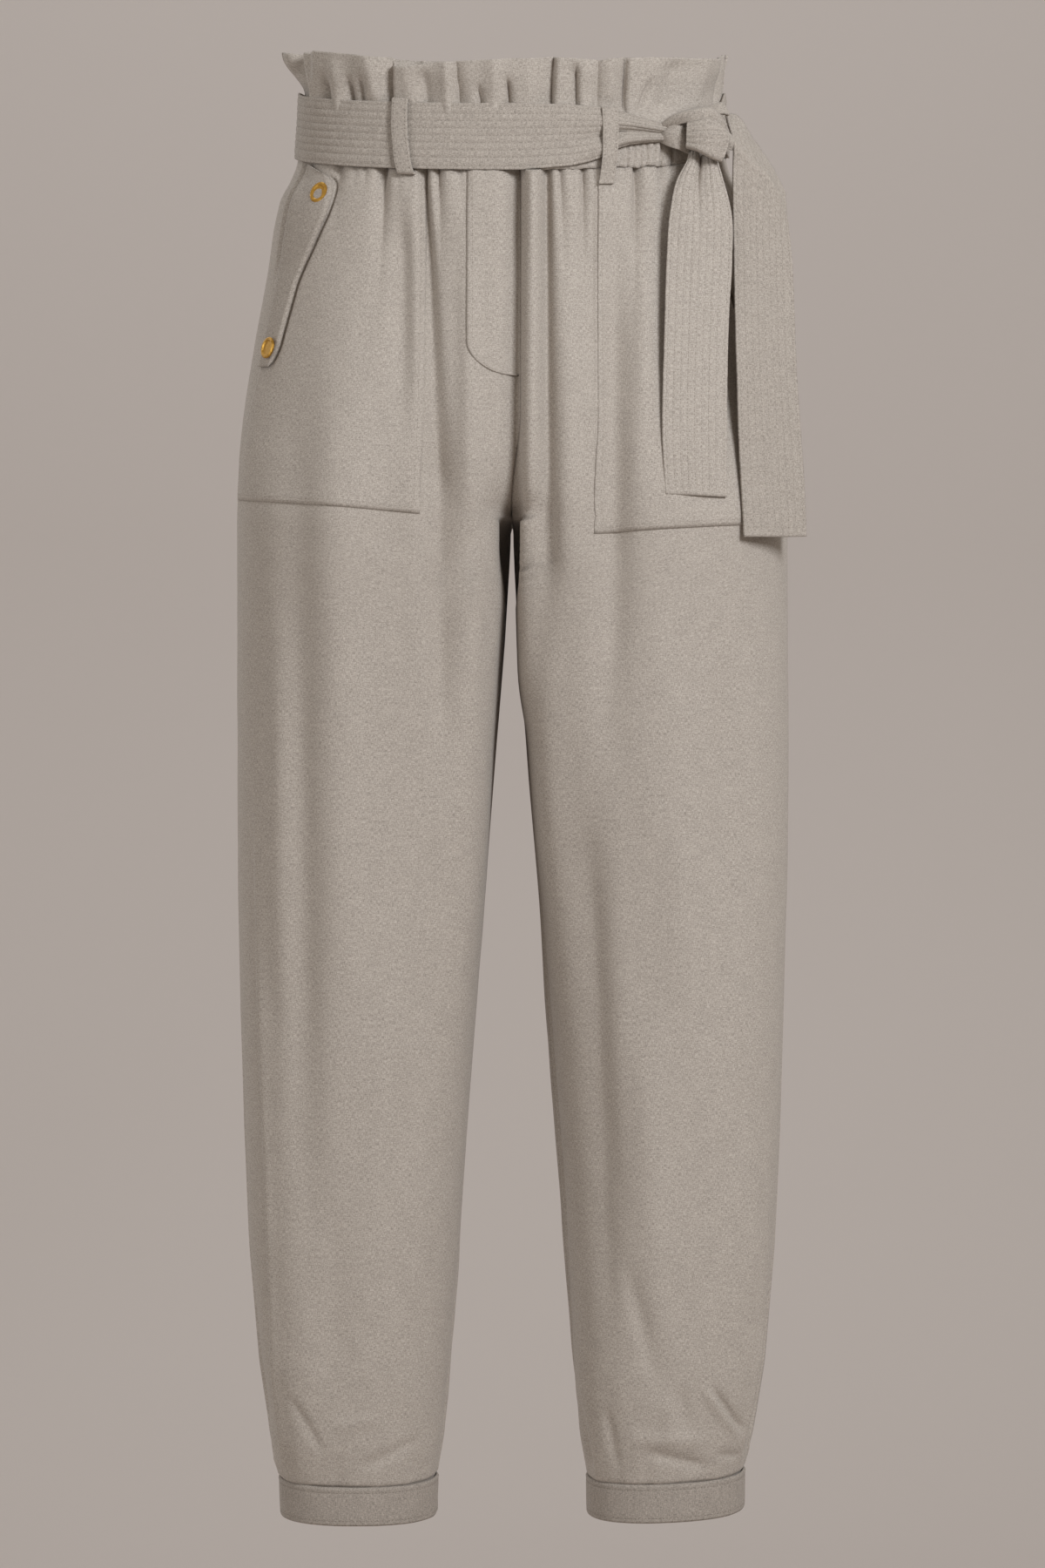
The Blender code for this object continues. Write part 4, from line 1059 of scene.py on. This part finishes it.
# ---- knot ----
# nets of points, rows from the upper edge to the lower, columns from the wearer's right
KNOT_FAN = [
    [(0.1, -0.075, -0.0155), (0.105, -0.08, -0.0105), (0.111, -0.081, -0.0085),
     (0.118, -0.076, -0.0095)],
    [(0.0975, -0.078, -0.018), (0.1045, -0.084, -0.0165), (0.112, -0.085, -0.0175),
     (0.1185, -0.08, -0.0185)],
    [(0.0968, -0.0765, -0.0203), (0.104, -0.082, -0.0248), (0.111, -0.0835, -0.0275),
     (0.1185, -0.079, -0.03)],
]
KNOT_OVER = [
    [(0.099, -0.076, -0.0096), (0.1072, -0.079, -0.0043), (0.117, -0.08, -0.0008),
     (0.13, -0.0785, 0.0015), (0.1365, -0.075, -0.001), (0.143, -0.072, -0.009)],
    [(0.1005, -0.079, -0.0108), (0.1085, -0.085, -0.0066), (0.1178, -0.0885, -0.004),
     (0.1298, -0.0875, -0.0025), (0.136, -0.083, -0.005), (0.1415, -0.078, -0.011)],
    [(0.1035, -0.0785, -0.0122), (0.111, -0.084, -0.0105), (0.119, -0.0875, -0.0094),
     (0.129, -0.0875, -0.008), (0.135, -0.0835, -0.009), (0.14, -0.079, -0.013)],
]
KNOT_WRAP = [
    [(0.1175, -0.08, -0.0098), (0.1225, -0.0815, -0.0082), (0.128, -0.0815, -0.0072),
     (0.133, -0.078, -0.007)],
    [(0.1161, -0.089, -0.0115), (0.1225, -0.0912, -0.0098), (0.129, -0.0912, -0.0088),
     (0.1352, -0.0862, -0.0092)],
    [(0.1154, -0.0915, -0.017), (0.1235, -0.0945, -0.016), (0.132, -0.094, -0.0158),
     (0.1405, -0.0885, -0.0162)],
    [(0.1152, -0.0915, -0.0225), (0.1235, -0.0948, -0.0236), (0.1325, -0.0945, -0.0246),
     (0.1432, -0.0885, -0.0228)],
    [(0.1152, -0.0905, -0.0262), (0.123, -0.094, -0.0292), (0.131, -0.0938, -0.0332),
     (0.1386, -0.0898, -0.0356)],
    [(0.1158, -0.0865, -0.0262), (0.1232, -0.09, -0.0291), (0.1308, -0.0898, -0.033),
     (0.1376, -0.0858, -0.035)],
]
KNOT_LOOP = [
    [(0.138, -0.079, -0.0105), (0.144, -0.079, -0.0165), (0.148, -0.08, -0.0222),
     (0.1455, -0.082, -0.0275)],
    [(0.1365, -0.083, -0.012), (0.1415, -0.0848, -0.0178), (0.1445, -0.086, -0.0225),
     (0.1435, -0.085, -0.0272)],
    [(0.135, -0.082, -0.014), (0.1385, -0.082, -0.019), (0.1405, -0.082, -0.023),
     (0.141, -0.0815, -0.0265)],
]
KNOT_BACK = [
    [(0.129, -0.07, 0.002), (0.133, -0.069, 0.0045), (0.137, -0.0665, 0.0062),
     (0.1405, -0.063, 0.0068)],
    [(0.1305, -0.074, 0.0), (0.135, -0.073, 0.0015), (0.139, -0.07, 0.0025),
     (0.1425, -0.0655, 0.003)],
    [(0.1325, -0.076, -0.0025), (0.137, -0.0755, -0.002), (0.1415, -0.072, -0.002),
     (0.1445, -0.067, -0.002)],
]
KNOT = 0.0018
WRAP_ROWS = (0.24, 0.36, 0.48, 0.6, 0.72)


def knot_piece(name, net, rows, cols, node, seed, quilted=False):
    """One fold of the knot, through its net of points."""
    grid = patch(net, rows, cols)
    s = np.linspace(0.0, 1.0, rows)[:, None]
    along = np.linspace(0.0, 0.03, cols)[None, :]
    out = 0.0004 * noise(along / 0.006, s * 3.0, seed)
    if quilted:
        for k in WRAP_ROWS:
            out = out - 0.0005 * bell(s - k, 0.03)
    grid = displaced(grid, out + np.zeros((rows, cols)))
    obj = cloth(name, grid, KNOT, SHADED_TRIM, node)
    return grid


knot_piece("knot_fan", KNOT_FAN, 24, 30, None, 61)
knot_piece("knot_over", KNOT_OVER, 24, 48, "belt_knot_over", 62)
wrap = knot_piece("knot_wrap", KNOT_WRAP, 54, 46, "belt_knot_wrap", 63, True)
paths = [line_on(wrap, [(k * (len(wrap) - 1), c) for c in np.linspace(2, 43, 24)], KNOT / 2)
         for k in WRAP_ROWS]
stitches("stitch_wrap", paths, BELT_THREAD)
knot_piece("knot_loop", KNOT_LOOP, 18, 34, None, 64)
knot_piece("knot_back", KNOT_BACK, 20, 30, None, 65)

# ---- belt loops ----
# z and height off the casing's middle surface along a loop
LOOP_RIGHT = [(0.0238, 0.0006), (0.0262, 0.0018), (0.0268, 0.0038), (0.0245, 0.0052),
              (0.008, 0.0054), (-0.008, 0.0054), (-0.019, 0.0052), (-0.0214, 0.0046),
              (-0.022, 0.0032), (-0.0212, 0.0014)]
LOOP_LEFT = [(0.019, 0.0016), (0.0206, 0.0024), (0.021, 0.0044), (0.019, 0.0056),
             (0.008, 0.0064), (-0.006, 0.0066), (-0.018, 0.0056), (-0.024, 0.0048),
             (-0.0285, 0.0044)]
LOOP_HALF = 0.0051
LOOP_BACK_X = [0.068, 0.0682, 0.0685, 0.0688, 0.069]
# name, node, back, side, x along the loop from its top, path
LOOPS = [
    ("loop_a", "loop_front_right", False, -1, [0.0722, 0.0728, 0.0724, 0.0708, 0.0662],
     LOOP_RIGHT),
    ("loop_b", "loop_front_left", False, 1, [0.0632, 0.063, 0.0622, 0.0606, 0.0582], LOOP_LEFT),
    ("loop_c", "loop_back_right", True, -1, LOOP_BACK_X, LOOP_RIGHT),
    ("loop_d", "loop_back_left", True, 1, LOOP_BACK_X, LOOP_RIGHT),
]
for name, node, back, side, xs, way_down in LOOPS:
    path = np.array(way_down)
    v = np.linspace(0, len(path) - 1, 56)
    z = curve(np.arange(len(path)), path[:, 0], v)[:, None]
    lift = curve(np.arange(len(path)), path[:, 1], v)[:, None]
    fall = np.interp(z, [-0.032, 0.0252], [1.0, 0.0])
    mid = curve(np.linspace(0, 1, len(xs)), xs, fall)
    across = np.linspace(-LOOP_HALF, LOOP_HALF, 15)[None, :]
    x, z = np.broadcast_arrays(mid + across, z)
    rx, ry, nx, ny = ring_at(back, share(back, x, z), z)
    d = lift + 0.0003 * np.cos(across / LOOP_HALF * 1.4)
    grid = np.stack(bend(side * (rx + nx * d), ry + ny * d, z), axis=-1)
    if (side < 0) != back:
        grid = grid[:, ::-1]
    loop = cloth(name, grid, LOOP, SHADED_TRIM, node)
    paths = [line_on(grid, [(r, c) for r in np.linspace(9, 46, 40)], LOOP / 2)
             for c in (2.0, 12.0)]
    stitches("stitch_" + name, paths, BELT_THREAD)

# ---- cuffs ----
CUFF_ROWS = 22
CUFF_COLS = 90
for side in (-1, 1):
    tag = SIDE_NAME[side]
    cols_f = np.linspace(0.0, 1.0, CUFF_COLS)
    cols_b = np.linspace(1.0, 0.0, CUFF_COLS)[1:-1]
    v = np.linspace(0.0, 1.0, CUFF_ROWS)[:, None]
    z = CUFF_TOP + (CUFF_LOW - CUFF_TOP) * v
    swell = 0.001 * smooth(0.0, 0.05, v) - 0.0006 * smooth(0.95, 1.0, v)
    parts = []
    for is_back, t in ((False, cols_f), (True, cols_b)):
        x, y, nx, ny = ring_at(is_back, t[None, :], z)
        d = swell - 0.0004 * bell(v - 0.13, 0.04) - 0.0003 * bell(v - 0.9, 0.04)
        d = d + 0.0004 * noise(x / 0.013 + side, y / 0.013 + v * 1.4, 71)
        lift = askew(side, x, y, z)
        parts.append(np.stack([side * (x + nx * d), y + ny * d, z + lift], axis=-1))
    grid = np.concatenate(parts, axis=1)
    if side < 0:
        grid = grid[:, ::-1]
    cuff = cloth("cuff_band_" + tag, grid, CUFF, SHADED_CUFF, "cuff_" + tag, closed=True,
                 turn=True)
    ring_grid = np.concatenate([grid, grid[:, :1]], axis=1)
    round_cuff = np.linspace(0, grid.shape[1], 240)
    paths = [line_on(ring_grid, [((CUFF_ROWS - 1) * k, c) for c in round_cuff], CUFF / 2)
             for k in (0.13, 0.88)]
    stitches("stitch_cuff_" + tag, paths, BELT_THREAD)

# ---- brass snaps ----
for name in ("snap_right_upper", "snap_right_lower", "snap_left_upper", "snap_left_lower"):
    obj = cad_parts[name]
    for slot in obj.material_slots:
        slot.material = BRASS

# ---- stage ----
WAIST_TO_FLOOR = -1.6


def backdrop():
    """A pale floor that sweeps up behind the trousers."""
    mat = bpy.data.materials.new("backdrop")
    n = Nodes(mat)
    tone = n.ramp(n.grain(3.0, 2.0), (0.55, 0.49, 0.45), (0.556, 0.496, 0.456))
    n.feed(n.shader, {"Base Color": tone, "Roughness": 1.0, "Specular IOR Level": 0.0})
    near, far, side, high, radius, steps = -6.0, 3.0, 7.0, 6.0, 1.6, 24
    profile = [(near, 0.0), (far, 0.0)]
    for k in range(1, steps + 1):
        ang = math.pi / 2 * k / steps
        profile.append((far + radius * math.sin(ang), radius * (1 - math.cos(ang))))
    profile.append((far + radius, high))
    verts, faces = [], []
    for y, z in profile:
        verts += [(-side, y, WAIST_TO_FLOOR + z), (side, y, WAIST_TO_FLOOR + z)]
    for k in range(len(profile) - 1):
        faces.append((2 * k, 2 * k + 1, 2 * k + 3, 2 * k + 2))
    obj = add_mesh("floor", verts, faces, None, mat)


backdrop()

scene = bpy.context.scene
scene.view_settings.view_transform = "Standard"
scene.view_settings.look = "None"

world = bpy.data.worlds.new("studio")
scene.world = world
world.use_nodes = True
world.node_tree.nodes["Background"].inputs[0].default_value = (1.04, 0.98, 0.9, 1.0)
world.node_tree.nodes["Background"].inputs[1].default_value = 0.38


def area_light(name, loc, target, size, power):
    """A rectangular light turned to a target."""
    data = bpy.data.lights.new(name, "AREA")
    data.shape = "RECTANGLE"
    data.size, data.size_y = size
    data.energy = power
    data.color = (0.93, 0.99, 1.06)
    obj = bpy.data.objects.new(name, data)
    obj.location = loc
    way = np.array(target) - np.array(loc)
    yaw = math.atan2(way[1], way[0])
    pitch = math.atan2(math.hypot(way[0], way[1]), -way[2])
    obj.rotation_euler = (pitch, 0.0, yaw - math.pi / 2)
    scene.collection.objects.link(obj)


area_light("key", (1.4, -2.05, 0.8), (0.0, 0.0, -0.36), (0.8, 0.9), 61.0)
area_light("fill", (-2.7, -1.9, 0.2), (0.0, 0.0, -0.45), (2.0, 2.4), 26.0)
area_light("back", (-1.9, 2.2, 0.8), (0.0, 0.0, -0.45), (1.2, 1.2), 17.0)
area_light("sweep", (0.0, 1.2, 2.6), (0.0, 4.6, -0.3), (5.0, 2.5), 62.0)

CAMERA_AWAY = 2.75
FRAME_HIGH = 1.0695
SENSOR = 36.0
cam = bpy.data.cameras.new("camera")
cam.sensor_width = SENSOR
cam.lens = SENSOR * CAMERA_AWAY / FRAME_HIGH
cam_obj = bpy.data.objects.new("camera", cam)
cam_obj.location = (0.0071, -CAMERA_AWAY, -0.4468)
cam_obj.rotation_euler = (math.pi / 2, 0.0, 0.0)
scene.collection.objects.link(cam_obj)
scene.camera = cam_obj
